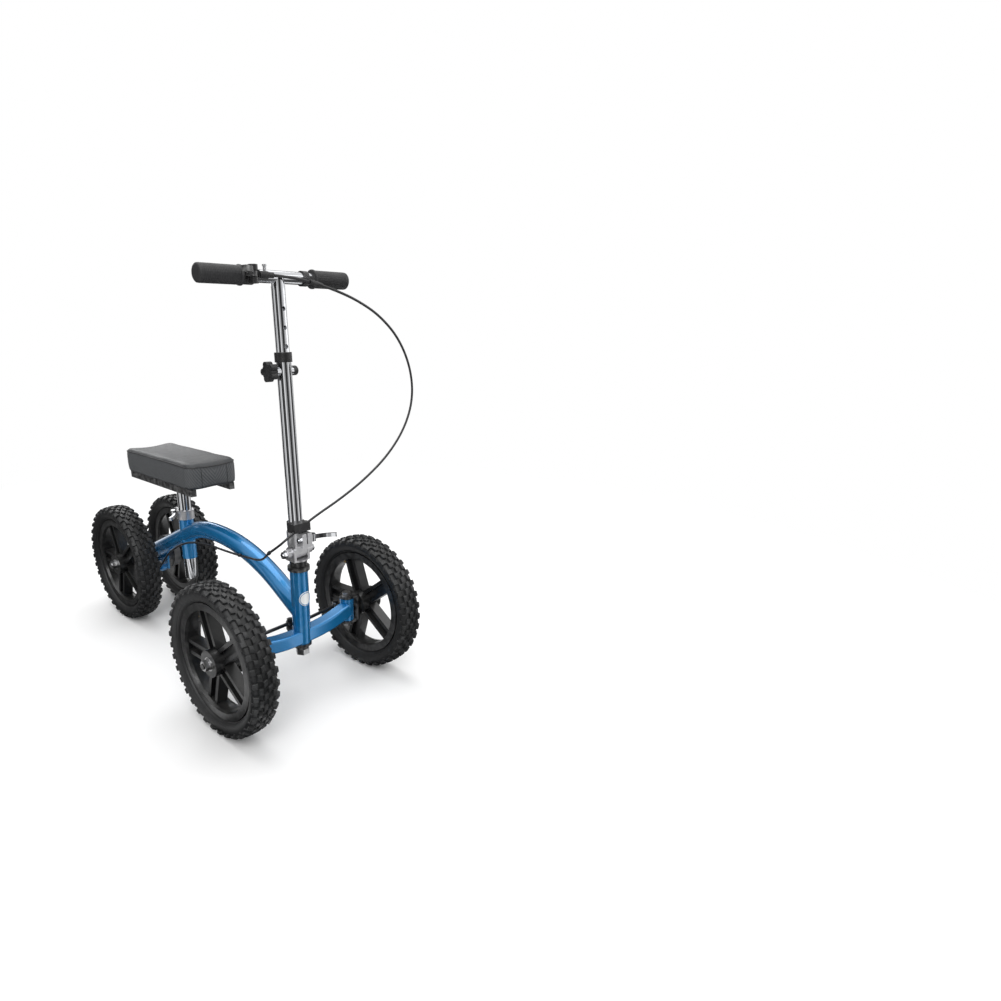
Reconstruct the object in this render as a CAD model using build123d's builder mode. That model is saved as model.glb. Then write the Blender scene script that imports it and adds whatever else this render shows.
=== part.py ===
"""Four-wheeled all-terrain knee scooter with a steered front end and a folding column.

Frame: +Z up, ground at z = 0, the rider faces -Y and the rider's left is +X.
The origin lies on the ground, midway between the axles and between the sides.
Every piece is its own node; pieces that move ride on the bodies named in the record.
"""

from build123d import *
import os
from math import atan2, cos, degrees, hypot, radians, sin, tan

os.makedirs("parts", exist_ok=True)

# ---------------------------------------------------------------- overall sizes
WHEEL_BASE = 650.0
FRONT_TRACK = 382.0
REAR_TRACK = 164.0
TYRE_R = 155.0
TYRE_W = 57.0

AXLE_Z = TYRE_R
FRONT_Y = -WHEEL_BASE / 2
REAR_Y = WHEEL_BASE / 2

# ---------------------------------------------------------------- clearances
RUN = 0.05          # radial clearance of a running fit
SLIDE = 0.15        # radial clearance of a telescoping tube
GAP = 0.5           # plain gap between faces that pass each other

# ---------------------------------------------------------------- wheels
RIM_FLANGE_R = 119.0
RIM_INNER_R = 104.0
RIM_W = 36.0
RIM_FLANGE_T = 5.0
BEAD_R = 112.0
WELL_R = 107.5
HUB_R = 27.0
HUB_W = 55.0
SPOKES = 5
SPOKE_START = 70.0
RIB_T = 8.0
RIB_W = 24.0
RIB_OFFSET = 12.0
WEB_T = 7.0
BEARING_OD = 28.0
BEARING_W = 8.0
AXLE_D = 12.0
BEARING_BORE_R = AXLE_D / 2 + RUN
NUT_AF = 19.0
NUT_H = 9.0
WASHER_R = 12.0
WASHER_T = 2.0
AXLE_TAIL = 3.0
COLLAR_R = 9.0      # shoulder that keeps a hub off its bracket

# ---------------------------------------------------------------- steering
HEAD_SETBACK = 7.0                      # steering axis ahead of the front axle line
HEAD_Y = FRONT_Y - HEAD_SETBACK
HEAD_TUBE_D = 38.0
HEAD_TUBE_BORE = 33.0
HEAD_BOTTOM_Z = AXLE_Z - 2.0
HEAD_TOP_Z = HEAD_BOTTOM_Z + 136.0
BEAM_H = 30.0
BEAM_D = 30.0
BEAM_WALL = 2.5
BEAM_BOSS_D = 36.0                      # round boss that carries the lower cup
BEAM_RISE = 17.0                        # the beam's ends stand this much above its middle
BEAM_FLAT = 60.0                        # half length of its level middle
BEAM_BEND_R = 320.0
BEAM_MID_Z = HEAD_BOTTOM_Z - BEAM_H / 2
STEERER_D = 25.4
STEERER_WALL = 3.0
SPIGOT_D = 16.0
CUP_FLANGE_D = 46.0
CUP_FLANGE_T = 8.0
CAP_D = 36.0
CAP_H = 13.0
LOWER_CUP_D = 30.0
LOWER_FLANGE_D = 40.0
LOWER_FLANGE_T = 5.0

KINGPIN_X = 136.0
KINGPIN_D = 10.0
SLEEVE_D = 32.0
SLEEVE_H = 52.0
SLEEVE_Z0 = AXLE_Z - SLEEVE_H / 2 - 2.0
KNUCKLE_T = 6.0
KNUCKLE_GAP = 1.0
KNUCKLE_HALF_Y = 16.0
KNUCKLE_PLATE_X = 154.0                 # inner face of the upright plate
STEER_ARM = 40.0                        # same on the pitman and on both knuckles
STUD_D = 8.0
EYE_R = 9.0
EYE_H = 8.0
EYE_CLEAR = 0.3
ROD_D = 7.5
KNUCKLE_EYE_Z = AXLE_Z - 8.0
LEFT_ROD_Z = KNUCKLE_EYE_Z - 4.0
RIGHT_ROD_Z = LEFT_ROD_Z + 9.5
STUD_NUT_AF = 13.0
STUD_NUT_H = 6.0
SHOULDER_R = 7.0
PITMAN_T = 8.0
PITMAN_W = 26.0
PITMAN_TOP_Z = BEAM_MID_Z - BEAM_H / 2 - LOWER_FLANGE_T - 1.5
STEERER_NUT_H = 12.0
STEERER_NUT_AF = 26.0

# ---------------------------------------------------------------- main frame
MAIN_D = 42.0
MAIN_WALL = 2.5
MAIN_FRONT_Z = HEAD_BOTTOM_Z + 43.0                    # where the main tube meets the steering axis
MAIN_CREST_Z = MAIN_FRONT_Z + 101.0
MAIN_FRONT_RUN = 172.0                  # from the steering axis to the first bend point
MAIN_REAR_RUN = 278.0                   # from the second bend point to the rear axle
MAIN_REAR_Z = AXLE_Z + 9.0
MAIN_FRONT_BEND = 460.0
MAIN_REAR_BEND = 290.0
SEAT_Y = REAR_Y - 204.0
SEAT_TUBE_D = 36.0
POST_D = 31.8
POST_WALL = 2.5
SEAT_TUBE_Z0 = MAIN_CREST_Z - 97.0
SEAT_TUBE_Z1 = MAIN_CREST_Z + 7.0
REAR_TUBE_D = 32.0

# ---------------------------------------------------------------- rear brake
DRUM_R = 46.0
DRUM_WALL = 4.0
DRUM_W = 18.0
PLATE_T = 3.0
SHOE_R = DRUM_R - DRUM_WALL - 1.0
SHOE_T = 8.0
SHOE_SPLIT = 34.0
CAM_OUT = 30.0                          # cam shaft's distance from the axle
CAM_ANGLE = 210.0                       # its direction, from +Y towards +Z
CAM_D = 10.0
ARM_LENGTH = 33.0
ARM_T = 5.0
ARM_X = -15.5
WIRE_X = -23.5
WIRE_D = 2.0
WIRE_SLOPE = 45.0
WIRE_LENGTH = 24.0
STOP_DISTANCE = 28.0
STOP_BORE_R = 3.4
BARREL_D = 8.0

# ---------------------------------------------------------------- column and fold
PIVOT_Z = HEAD_TOP_Z + 39.0
COLUMN_LEAN = 2.2
COLUMN_D = 28.6
STEM_D = 25.4
COLUMN_FOOT = 22.0                      # heights along the column, from the fold pivot
COLUMN_TOP = 383.0
COLUMN_COLLAR_H = 18.0
COLUMN_COLLAR_D = COLUMN_D + 4.4
KNOB_HEIGHT = 357.0
KNOB_R = 19.0
KNOB_T = 14.0
KNOB_LOBES = 5
KNOB_SHANK_D = 8.0
CLIP_H0 = 46.0
CLIP_H = 18.0
BAR_HEIGHT = 521.0
STEM_FOOT = 250.0
STEM_HOLE_D = 8.0
STEM_HOLE_STEP = 33.0
STEM_HOLES = 6
FOLD_LUG_R = 14.0
FOLD_LUG_X = 14.0
FOLD_LUG_T = 6.0
FOLD_BOSS_R = 9.5
FOLD_BOSS_X = 31.0
FOLD_PIN_D = 8.0
FOLD_BLOCK_H0 = 15.0
FOLD_BLOCK_H1 = 44.0
FOLD_BLOCK_R = 20.0
FOLD_EAR_Y = -27.0
FOLD_EAR_H = 31.0
SKEWER_D = 6.0

# ---------------------------------------------------------------- handlebar
BAR_D = 22.2
BAR_WALL = 1.8
BAR_HALF = 160.0
GRIP_D = 32.0
GRIP_IN = 78.0
GRIP_OUT = 163.0
PERCH_X = -70.0
PERCH_W = 22.0
LEVER_PIVOT_Y = -27.0
LEVER_ANGLE = 50.0                      # between the blade at rest and the bar
LEVER_LENGTH = 92.0
GUIDE_R = 4.8
GUIDE_L = 20.0
CABLE_D = 5.0

# ---------------------------------------------------------------- knee pad
PAD_W = 138.0
PAD_L = 332.0
PAD_H = 62.0
PAD_Z0 = SEAT_TUBE_Z1 + 107.0
PAD_Y = SEAT_Y + 5.0
PAD_CORNER_R = 26.0
BASE_T = 6.0
RAIL_W = 13.0
RAIL_H = 16.0
RAIL_X = 50.0
RAIL_L = 300.0
POST_BOTTOM_Z = SEAT_TUBE_Z0 - 54.0
CLAMP_H = 22.0
CLAMP_R = 21.5
CLAMP_EAR_Y = 28.0


def save(part: Part, name: str) -> None:
    """Label a finished piece and write it to its own file."""
    part.label = name
    export_step(part, f"parts/{name}.step")


def hex_radius(across_flats: float) -> float:
    """Return the corner radius of a hexagon given across its flats."""
    return across_flats / (2 * cos(radians(30)))


# ================================================================ wheels
def radial_plane(x: float, y: float) -> Plane:
    """Return a plane whose local x is the wheel's axis and local y the radius upward."""
    return Plane(origin=(x, y, AXLE_Z), x_dir=(1, 0, 0), z_dir=(0, -1, 0))


def face_plane(x: float, y: float) -> Plane:
    """Return a plane square to the wheel's axis; its local x is +Y and local y is +Z."""
    return Plane(origin=(x, y, AXLE_Z), x_dir=(0, 1, 0), z_dir=(1, 0, 0))


def axle_axis(x: float, y: float) -> Axis:
    """Return the axis that a wheel turns on."""
    return Axis((x, y, AXLE_Z), (1, 0, 0))


def make_tyre(x: float, y: float) -> Part:
    """Return a hollow tyre: beads inside the flanges, round sidewalls and a crowned tread."""
    bead = RIM_W / 2 - RIM_FLANGE_T
    toe = bead - 4.0
    half = TYRE_W / 2
    shoulder_r = TYRE_R - 5.0
    with BuildPart() as tyre:
        with BuildSketch(radial_plane(x, y)):
            with BuildLine():
                Line((bead, BEAD_R), (bead, RIM_FLANGE_R + 1))
                ThreePointArc((bead, RIM_FLANGE_R + 1), (half, 136), (half - 4, shoulder_r))
                ThreePointArc((half - 4, shoulder_r), (0, TYRE_R), (4 - half, shoulder_r))
                ThreePointArc((4 - half, shoulder_r), (-half, 136), (-bead, RIM_FLANGE_R + 1))
                Line((-bead, RIM_FLANGE_R + 1), (-bead, BEAD_R))
                Line((-bead, BEAD_R), (-toe, BEAD_R))
                Line((-toe, BEAD_R), (-toe, RIM_FLANGE_R + 2))
                ThreePointArc((-toe, RIM_FLANGE_R + 2), (5 - half, 136), (9 - half, shoulder_r - 5))
                ThreePointArc((9 - half, shoulder_r - 5), (0, TYRE_R - 7), (half - 9, shoulder_r - 5))
                ThreePointArc((half - 9, shoulder_r - 5), (half - 5, 136), (toe, RIM_FLANGE_R + 2))
                Line((toe, RIM_FLANGE_R + 2), (toe, BEAD_R))
                Line((toe, BEAD_R), (bead, BEAD_R))
            make_face()
        revolve(axis=axle_axis(x, y))
    return tyre.part


def make_wheel(x: float, y: float) -> Part:
    """Return a moulded wheel: deep rim, five twin spokes with a web, and a bored hub."""
    half = RIM_W / 2
    bead = half - RIM_FLANGE_T
    rib_length = RIM_INNER_R - HUB_R + 6
    rib_middle = (RIM_INNER_R + HUB_R) / 2
    with BuildPart() as wheel:
        with BuildSketch(radial_plane(x, y)):
            with BuildLine():
                Polyline(
                    (-half, RIM_INNER_R), (-half, RIM_FLANGE_R), (-bead, RIM_FLANGE_R), (-bead, BEAD_R),
                    (5 - bead, BEAD_R), (7 - bead, WELL_R), (bead - 7, WELL_R), (bead - 5, BEAD_R),
                    (bead, BEAD_R), (bead, RIM_FLANGE_R), (half, RIM_FLANGE_R), (half, RIM_INNER_R),
                    (half - 6, RIM_INNER_R - 2), (6 - half, RIM_INNER_R - 2), close=True,
                )
            make_face()
        revolve(axis=axle_axis(x, y))
        with BuildSketch(face_plane(x - HUB_W / 2, y)):
            Circle(HUB_R)
        extrude(amount=HUB_W)
        with BuildSketch(face_plane(x - RIB_W / 2, y)):
            with PolarLocations(0, SPOKES, start_angle=SPOKE_START):
                with Locations((rib_middle, RIB_OFFSET), (rib_middle, -RIB_OFFSET)):
                    Rectangle(rib_length, RIB_T)
        extrude(amount=RIB_W)
        with BuildSketch(face_plane(x - WEB_T / 2, y)):
            with PolarLocations(0, SPOKES, start_angle=SPOKE_START):
                with Locations((rib_middle, 0)):
                    Rectangle(rib_length, 2 * RIB_OFFSET)
        extrude(amount=WEB_T)
        for side in (-1, 1):
            with Locations(Plane(origin=(x + side * HUB_W / 2, y, AXLE_Z), z_dir=(side, 0, 0))):
                CounterBoreHole(AXLE_D / 2 + 3, BEARING_OD / 2, BEARING_W)
    return wheel.part


def make_bearings(x: float, y: float) -> Part:
    """Return the hub's two bearings, one at each face."""
    with BuildPart() as bearings:
        for start in (x - HUB_W / 2, x + HUB_W / 2 - BEARING_W):
            with BuildSketch(face_plane(start, y)):
                Circle(BEARING_OD / 2)
                Circle(BEARING_BORE_R, mode=Mode.SUBTRACT)
            extrude(amount=BEARING_W)
    return bearings.part


WHEEL_PLACES = {
    "front_left": (FRONT_TRACK / 2, FRONT_Y),
    "front_right": (-FRONT_TRACK / 2, FRONT_Y),
    "rear_left": (REAR_TRACK / 2, REAR_Y),
    "rear_right": (-REAR_TRACK / 2, REAR_Y),
}
for corner, (wheel_x, wheel_y) in WHEEL_PLACES.items():
    save(make_tyre(wheel_x, wheel_y), f"tyre_{corner}")
    save(make_wheel(wheel_x, wheel_y), f"wheel_{corner}")
    save(make_bearings(wheel_x, wheel_y), f"bearings_{corner}")


# ================================================================ frame
main_front = (0, HEAD_Y, MAIN_FRONT_Z)
main_bend_a = (0, HEAD_Y + MAIN_FRONT_RUN, MAIN_CREST_Z)
main_bend_b = (0, REAR_Y - MAIN_REAR_RUN, MAIN_CREST_Z)
main_rear = (0, REAR_Y, MAIN_REAR_Z)

# the two bends share the level run between them, so neither arc may use more than its part of it
front_turn = atan2(MAIN_CREST_Z - MAIN_FRONT_Z, MAIN_FRONT_RUN)
rear_turn = atan2(MAIN_CREST_Z - MAIN_REAR_Z, MAIN_REAR_RUN)
level_run = main_bend_b[1] - main_bend_a[1]
bend_room = MAIN_FRONT_BEND * tan(front_turn / 2) + MAIN_REAR_BEND * tan(rear_turn / 2)
bend_share = min(1.0, 0.95 * level_run / bend_room)


def head_cylinder() -> Part:
    """Return the head tube's full outer cylinder, as a cutter for the main tube."""
    return Pos(0, HEAD_Y, (HEAD_BOTTOM_Z + HEAD_TOP_Z) / 2) * Cylinder(
        HEAD_TUBE_D / 2, HEAD_TOP_Z - HEAD_BOTTOM_Z
    )


def seat_cylinder() -> Part:
    """Return the seat tube's full outer cylinder, as a cutter for the main tube."""
    return Pos(0, SEAT_Y, (SEAT_TUBE_Z0 + SEAT_TUBE_Z1) / 2) * Cylinder(
        SEAT_TUBE_D / 2, SEAT_TUBE_Z1 - SEAT_TUBE_Z0
    )


def rear_cylinder() -> Part:
    """Return the rear cross tube's full outer cylinder, as a cutter for the main tube."""
    return Pos(0, REAR_Y, AXLE_Z) * (Rot(0, 90, 0) * Cylinder(REAR_TUBE_D / 2, REAR_TRACK))


with BuildPart() as main_tube:
    with BuildLine():
        main_path = FilletPolyline(
            main_front, main_bend_a, main_bend_b, main_rear,
            radius=[MAIN_FRONT_BEND * bend_share, MAIN_REAR_BEND * bend_share],
        )
    with BuildSketch(Plane(origin=main_path @ 0, x_dir=(1, 0, 0), z_dir=main_path % 0)):
        Circle(MAIN_D / 2)
        Circle(MAIN_D / 2 - MAIN_WALL, mode=Mode.SUBTRACT)
    sweep(path=main_path)
    add(head_cylinder(), mode=Mode.SUBTRACT)
    add(seat_cylinder(), mode=Mode.SUBTRACT)
    add(rear_cylinder(), mode=Mode.SUBTRACT)
main_solid = main_tube.part.solids().sort_by(SortBy.VOLUME)[-1]
save(Part(main_solid.wrapped), "main_tube")

with BuildPart() as head_tube:
    with BuildSketch(Plane.XY.offset(HEAD_BOTTOM_Z)):
        with Locations((0, HEAD_Y)):
            Circle(HEAD_TUBE_D / 2)
            Circle(HEAD_TUBE_BORE / 2, mode=Mode.SUBTRACT)
    extrude(amount=HEAD_TOP_Z - HEAD_BOTTOM_Z)
save(head_tube.part, "head_tube")

beam_end_x = KINGPIN_X - 8
with BuildPart() as front_beam:
    with BuildLine():
        beam_path = FilletPolyline(
            (-beam_end_x, HEAD_Y, BEAM_MID_Z + BEAM_RISE),
            (-BEAM_FLAT, HEAD_Y, BEAM_MID_Z),
            (BEAM_FLAT, HEAD_Y, BEAM_MID_Z),
            (beam_end_x, HEAD_Y, BEAM_MID_Z + BEAM_RISE),
            radius=BEAM_BEND_R,
        )
    with BuildSketch(Plane(origin=beam_path @ 0, x_dir=(0, 1, 0), z_dir=beam_path % 0)):
        RectangleRounded(BEAM_D, BEAM_H, 5)
        RectangleRounded(BEAM_D - 2 * BEAM_WALL, BEAM_H - 2 * BEAM_WALL, 2.6, mode=Mode.SUBTRACT)
    sweep(path=beam_path)
    with BuildSketch(Plane.XY.offset(BEAM_MID_Z - BEAM_H / 2)):
        with Locations((0, HEAD_Y)):
            Circle(BEAM_BOSS_D / 2)
    extrude(amount=BEAM_H)
    with BuildSketch(Plane.XY.offset(BEAM_MID_Z - BEAM_H / 2 - 1)):
        with Locations((0, HEAD_Y)):
            Circle(LOWER_CUP_D / 2)
    extrude(amount=BEAM_H + 2, mode=Mode.SUBTRACT)
    with BuildSketch(Plane.XY.offset(SLEEVE_Z0)):
        with Locations((KINGPIN_X, FRONT_Y), (-KINGPIN_X, FRONT_Y)):
            Circle(SLEEVE_D / 2)
    extrude(amount=SLEEVE_H)
    with BuildSketch(Plane.XY.offset(SLEEVE_Z0 - 1)):
        with Locations((KINGPIN_X, FRONT_Y), (-KINGPIN_X, FRONT_Y)):
            Circle(KINGPIN_D / 2)
    extrude(amount=SLEEVE_H + 2, mode=Mode.SUBTRACT)
save(front_beam.part, "front_beam")

with BuildPart() as seat_tube:
    with BuildSketch(Plane.XY.offset(SEAT_TUBE_Z0)):
        with Locations((0, SEAT_Y)):
            Circle(SEAT_TUBE_D / 2)
            Circle(POST_D / 2 + SLIDE, mode=Mode.SUBTRACT)
    extrude(amount=SEAT_TUBE_Z1 - SEAT_TUBE_Z0)
save(seat_tube.part, "seat_tube")

# ---------------------------------------------------------------- rear bracket and brake places
hub_inner_x = REAR_TRACK / 2 - HUB_W / 2
plate_x1 = hub_inner_x - DRUM_W - GAP
plate_x0 = plate_x1 - PLATE_T
cam_y = REAR_Y + CAM_OUT * cos(radians(CAM_ANGLE))
cam_z = AXLE_Z + CAM_OUT * sin(radians(CAM_ANGLE))
wire_dir = (0, -cos(radians(WIRE_SLOPE)), sin(radians(WIRE_SLOPE)))
arm_dir = (0, -sin(radians(WIRE_SLOPE)), -cos(radians(WIRE_SLOPE)))
arm_end_y = cam_y + ARM_LENGTH * arm_dir[1]
arm_end_z = cam_z + ARM_LENGTH * arm_dir[2]
stop_y = arm_end_y + STOP_DISTANCE * wire_dir[1]
stop_z = arm_end_z + STOP_DISTANCE * wire_dir[2]
main_slope = (MAIN_CREST_Z - MAIN_REAR_Z) / MAIN_REAR_RUN
main_under = MAIN_D / 2 / cos(atan2(MAIN_CREST_Z - MAIN_REAR_Z, MAIN_REAR_RUN))


def main_bottom_z(y: float) -> float:
    """Return the height of the main tube's underside on its straight rear run."""
    return MAIN_REAR_Z + (REAR_Y - y) * main_slope - main_under


GUSSET_T = 5.0
STOP_LONG = 12.0
with BuildPart() as rear_bracket:
    with BuildSketch(face_plane(-plate_x0, REAR_Y)):
        Circle(REAR_TUBE_D / 2)
        Circle(AXLE_D / 2 + SLIDE, mode=Mode.SUBTRACT)
    extrude(amount=2 * plate_x0)
    with BuildSketch(Plane(origin=(-GUSSET_T / 2, 0, 0), x_dir=(0, 1, 0), z_dir=(1, 0, 0))):
        with BuildLine():
            Polyline(
                (REAR_Y - 12, AXLE_Z - 14),
                (REAR_Y - 12, main_bottom_z(REAR_Y - 12)),
                (stop_y - 14, main_bottom_z(stop_y - 14)),
                (stop_y - 10, stop_z - 4),
                (stop_y + 6, stop_z - 8),
                (cam_y - 12, cam_z + 9),
                close=True,
            )
        make_face()
    extrude(amount=GUSSET_T)
    with BuildSketch(Plane(origin=(-GUSSET_T / 2, stop_y, stop_z), x_dir=wire_dir, z_dir=(-1, 0, 0))):
        Rectangle(STOP_LONG, 13)
    extrude(amount=-WIRE_X - GUSSET_T / 2 + 6)
    with BuildSketch(Plane(origin=(WIRE_X, stop_y, stop_z), z_dir=wire_dir)):
        Circle(STOP_BORE_R)
    extrude(amount=STOP_LONG, both=True, mode=Mode.SUBTRACT)
    with BuildSketch(face_plane(-plate_x0 - 1, REAR_Y)):
        Circle(AXLE_D / 2 + SLIDE)
    extrude(amount=2 * plate_x0 + 2, mode=Mode.SUBTRACT)
    with BuildSketch(Plane(origin=(-GUSSET_T, cam_y, cam_z), x_dir=(0, 1, 0), z_dir=(1, 0, 0))):
        Circle(CAM_D / 2 + GAP)
    extrude(amount=2 * GUSSET_T, mode=Mode.SUBTRACT)
save(rear_bracket.part, "rear_bracket")

# ================================================================ headset, kingpins, knuckles
with BuildPart() as headset_cups:
    with BuildSketch(Plane.XY.offset(HEAD_TOP_Z)):
        with Locations((0, HEAD_Y)):
            Circle(CUP_FLANGE_D / 2)
    extrude(amount=CUP_FLANGE_T)
    with BuildSketch(Plane.XY.offset(HEAD_TOP_Z + CUP_FLANGE_T)):
        with Locations((0, HEAD_Y)):
            Circle(CAP_D / 2)
    extrude(amount=CAP_H)
    with BuildSketch(Plane.XY.offset(HEAD_TOP_Z - 14)):
        with Locations((0, HEAD_Y)):
            Circle(HEAD_TUBE_BORE / 2)
    extrude(amount=14)
    with BuildSketch(Plane.XY.offset(BEAM_MID_Z - BEAM_H / 2 - LOWER_FLANGE_T)):
        with Locations((0, HEAD_Y)):
            Circle(LOWER_FLANGE_D / 2)
    extrude(amount=LOWER_FLANGE_T)
    with BuildSketch(Plane.XY.offset(BEAM_MID_Z - BEAM_H / 2)):
        with Locations((0, HEAD_Y)):
            Circle(LOWER_CUP_D / 2)
    extrude(amount=BEAM_H - 4)
    with BuildSketch(Plane.XY.offset(BEAM_MID_Z - BEAM_H)):
        with Locations((0, HEAD_Y)):
            Circle(STEERER_D / 2 + RUN)
    extrude(amount=HEAD_TOP_Z, mode=Mode.SUBTRACT)
save(headset_cups.part, "headset_cups")

kingpin_z0 = SLEEVE_Z0 - KNUCKLE_GAP - KNUCKLE_T
kingpin_z1 = SLEEVE_Z0 + SLEEVE_H + KNUCKLE_GAP + KNUCKLE_T
with BuildPart() as kingpins:
    with BuildSketch(Plane.XY.offset(kingpin_z0 - 2)):
        with Locations((KINGPIN_X, FRONT_Y), (-KINGPIN_X, FRONT_Y)):
            Circle(KINGPIN_D / 2)
    extrude(amount=kingpin_z1 - kingpin_z0 + 4)
    with BuildSketch(Plane.XY.offset(kingpin_z1 + GAP)):
        with Locations((KINGPIN_X, FRONT_Y), (-KINGPIN_X, FRONT_Y)):
            RegularPolygon(hex_radius(17), 6)
    extrude(amount=6.5)
    with BuildSketch(Plane.XY.offset(kingpin_z0 - GAP - 8)):
        with Locations((KINGPIN_X, FRONT_Y), (-KINGPIN_X, FRONT_Y)):
            RegularPolygon(hex_radius(17), 6)
    extrude(amount=8)
save(kingpins.part, "kingpins")


def make_knuckle(side: int) -> Part:
    """Return one steering knuckle: C-bracket, stub axle, steering arm and its stud."""
    pin_x = side * KINGPIN_X
    plate_in = KNUCKLE_PLATE_X
    plate_out = KNUCKLE_PLATE_X + KNUCKLE_T
    hub_in = FRONT_TRACK / 2 - HUB_W / 2
    axle_end = FRONT_TRACK / 2 + HUB_W / 2 + WASHER_T + NUT_H + AXLE_TAIL
    low_z = SLEEVE_Z0 - KNUCKLE_GAP - KNUCKLE_T
    high_z = SLEEVE_Z0 + SLEEVE_H + KNUCKLE_GAP
    arm_y = FRONT_Y + STEER_ARM
    with BuildPart() as knuckle:
        for z0 in (low_z, high_z):
            with BuildSketch(Plane.XY.offset(z0)):
                with Locations((pin_x, FRONT_Y)):
                    Circle(KNUCKLE_HALF_Y)
                with Locations((side * (KINGPIN_X + plate_out) / 2, FRONT_Y)):
                    Rectangle(plate_out - KINGPIN_X, 2 * KNUCKLE_HALF_Y)
            extrude(amount=KNUCKLE_T)
        with BuildSketch(Plane.XY.offset(low_z)):
            with Locations((side * (plate_in + plate_out) / 2, FRONT_Y)):
                Rectangle(KNUCKLE_T, 2 * KNUCKLE_HALF_Y)
        extrude(amount=high_z + KNUCKLE_T - low_z)
        with BuildSketch(Plane.XY.offset(low_z)):
            with Locations((pin_x, FRONT_Y + STEER_ARM / 2)):
                SlotCenterToCenter(STEER_ARM, 20, rotation=90)
        extrude(amount=KNUCKLE_T)
        with BuildSketch(Plane.XY.offset(low_z)):
            with Locations((pin_x, arm_y)):
                Circle(SHOULDER_R)
        extrude(amount=KNUCKLE_EYE_Z - EYE_H / 2 - EYE_CLEAR - low_z)
        with BuildSketch(Plane.XY.offset(low_z)):
            with Locations((pin_x, arm_y)):
                Circle(STUD_D / 2)
        extrude(amount=KNUCKLE_EYE_Z + EYE_H / 2 + STUD_NUT_H + 2 - low_z)
        with BuildSketch(Plane.XY.offset(KNUCKLE_EYE_Z + EYE_H / 2 + EYE_CLEAR)):
            with Locations((pin_x, arm_y)):
                RegularPolygon(hex_radius(STUD_NUT_AF), 6)
        extrude(amount=STUD_NUT_H)
        with BuildSketch(face_plane(side * plate_in, FRONT_Y)):
            Circle(AXLE_D / 2)
        extrude(amount=side * (axle_end - plate_in))
        with BuildSketch(face_plane(side * plate_out, FRONT_Y)):
            Circle(COLLAR_R)
        extrude(amount=side * (hub_in - 0.3 - plate_out))
        with BuildSketch(Plane.XY.offset(low_z - 1)):
            with Locations((pin_x, FRONT_Y)):
                Circle(KINGPIN_D / 2 + RUN)
        extrude(amount=high_z + KNUCKLE_T + 2 - low_z, mode=Mode.SUBTRACT)
    return knuckle.part


def make_axle_nut(x: float, y: float, side: int) -> Part:
    """Return an axle's washer and nut, outside the hub's outer face."""
    with BuildPart() as nut:
        with BuildSketch(face_plane(x + side * 0.3, y)):
            Circle(WASHER_R)
            Circle(AXLE_D / 2, mode=Mode.SUBTRACT)
        extrude(amount=side * WASHER_T)
        with BuildSketch(face_plane(x + side * (WASHER_T + 0.5), y)):
            RegularPolygon(hex_radius(NUT_AF), 6)
            Circle(AXLE_D / 2, mode=Mode.SUBTRACT)
        extrude(amount=side * NUT_H)
    return nut.part


for hand, side in (("left", 1), ("right", -1)):
    save(make_knuckle(side), f"knuckle_{hand}")
    save(make_axle_nut(side * (FRONT_TRACK + HUB_W) / 2, FRONT_Y, side), f"axle_nut_{hand}")


def make_tie_rod(side: int, inner_z: float) -> Part:
    """Return one tie rod with an eye at each end; it shifts sideways without turning."""
    inner = Vector(0, HEAD_Y + STEER_ARM, inner_z)
    outer = Vector(side * KINGPIN_X, FRONT_Y + STEER_ARM, KNUCKLE_EYE_Z)
    run = outer - inner
    length = run.length
    start = inner + run.normalized() * EYE_R * 0.8
    with BuildPart() as rod:
        with BuildSketch(Plane(origin=start, z_dir=run.normalized())):
            Circle(ROD_D / 2)
        extrude(amount=length - 1.6 * EYE_R)
        for eye in (inner, outer):
            with BuildSketch(Plane.XY.offset(eye.Z - EYE_H / 2)):
                with Locations((eye.X, eye.Y)):
                    Circle(EYE_R)
            extrude(amount=EYE_H)
        for eye in (inner, outer):
            with BuildSketch(Plane.XY.offset(eye.Z - EYE_H)):
                with Locations((eye.X, eye.Y)):
                    Circle(STUD_D / 2 + EYE_CLEAR)
            extrude(amount=2 * EYE_H, mode=Mode.SUBTRACT)
    return rod.part


save(make_tie_rod(1, LEFT_ROD_Z), "tie_rod_left")
save(make_tie_rod(-1, RIGHT_ROD_Z), "tie_rod_right")

pitman_z0 = PITMAN_TOP_Z - PITMAN_T
with BuildPart() as pitman_arm:
    with BuildSketch(Plane.XY.offset(pitman_z0)):
        with Locations((0, HEAD_Y + STEER_ARM / 2)):
            SlotCenterToCenter(STEER_ARM, PITMAN_W, rotation=90)
    extrude(amount=PITMAN_T)
    with BuildSketch(Plane.XY.offset(pitman_z0)):
        with Locations((0, HEAD_Y + STEER_ARM)):
            Circle(SHOULDER_R)
    extrude(amount=LEFT_ROD_Z - EYE_H / 2 - EYE_CLEAR - pitman_z0)
    with BuildSketch(Plane.XY.offset(pitman_z0)):
        with Locations((0, HEAD_Y + STEER_ARM)):
            Circle(STUD_D / 2)
    extrude(amount=RIGHT_ROD_Z + EYE_H / 2 + STUD_NUT_H + 2 - pitman_z0)
    with BuildSketch(Plane.XY.offset(RIGHT_ROD_Z + EYE_H / 2 + EYE_CLEAR)):
        with Locations((0, HEAD_Y + STEER_ARM)):
            RegularPolygon(hex_radius(STUD_NUT_AF), 6)
    extrude(amount=STUD_NUT_H)
    with BuildSketch(Plane.XY.offset(pitman_z0 - 1)):
        with Locations((0, HEAD_Y)):
            Circle(SPIGOT_D / 2)
    extrude(amount=PITMAN_T + 2, mode=Mode.SUBTRACT)
save(pitman_arm.part, "pitman_arm")

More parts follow.
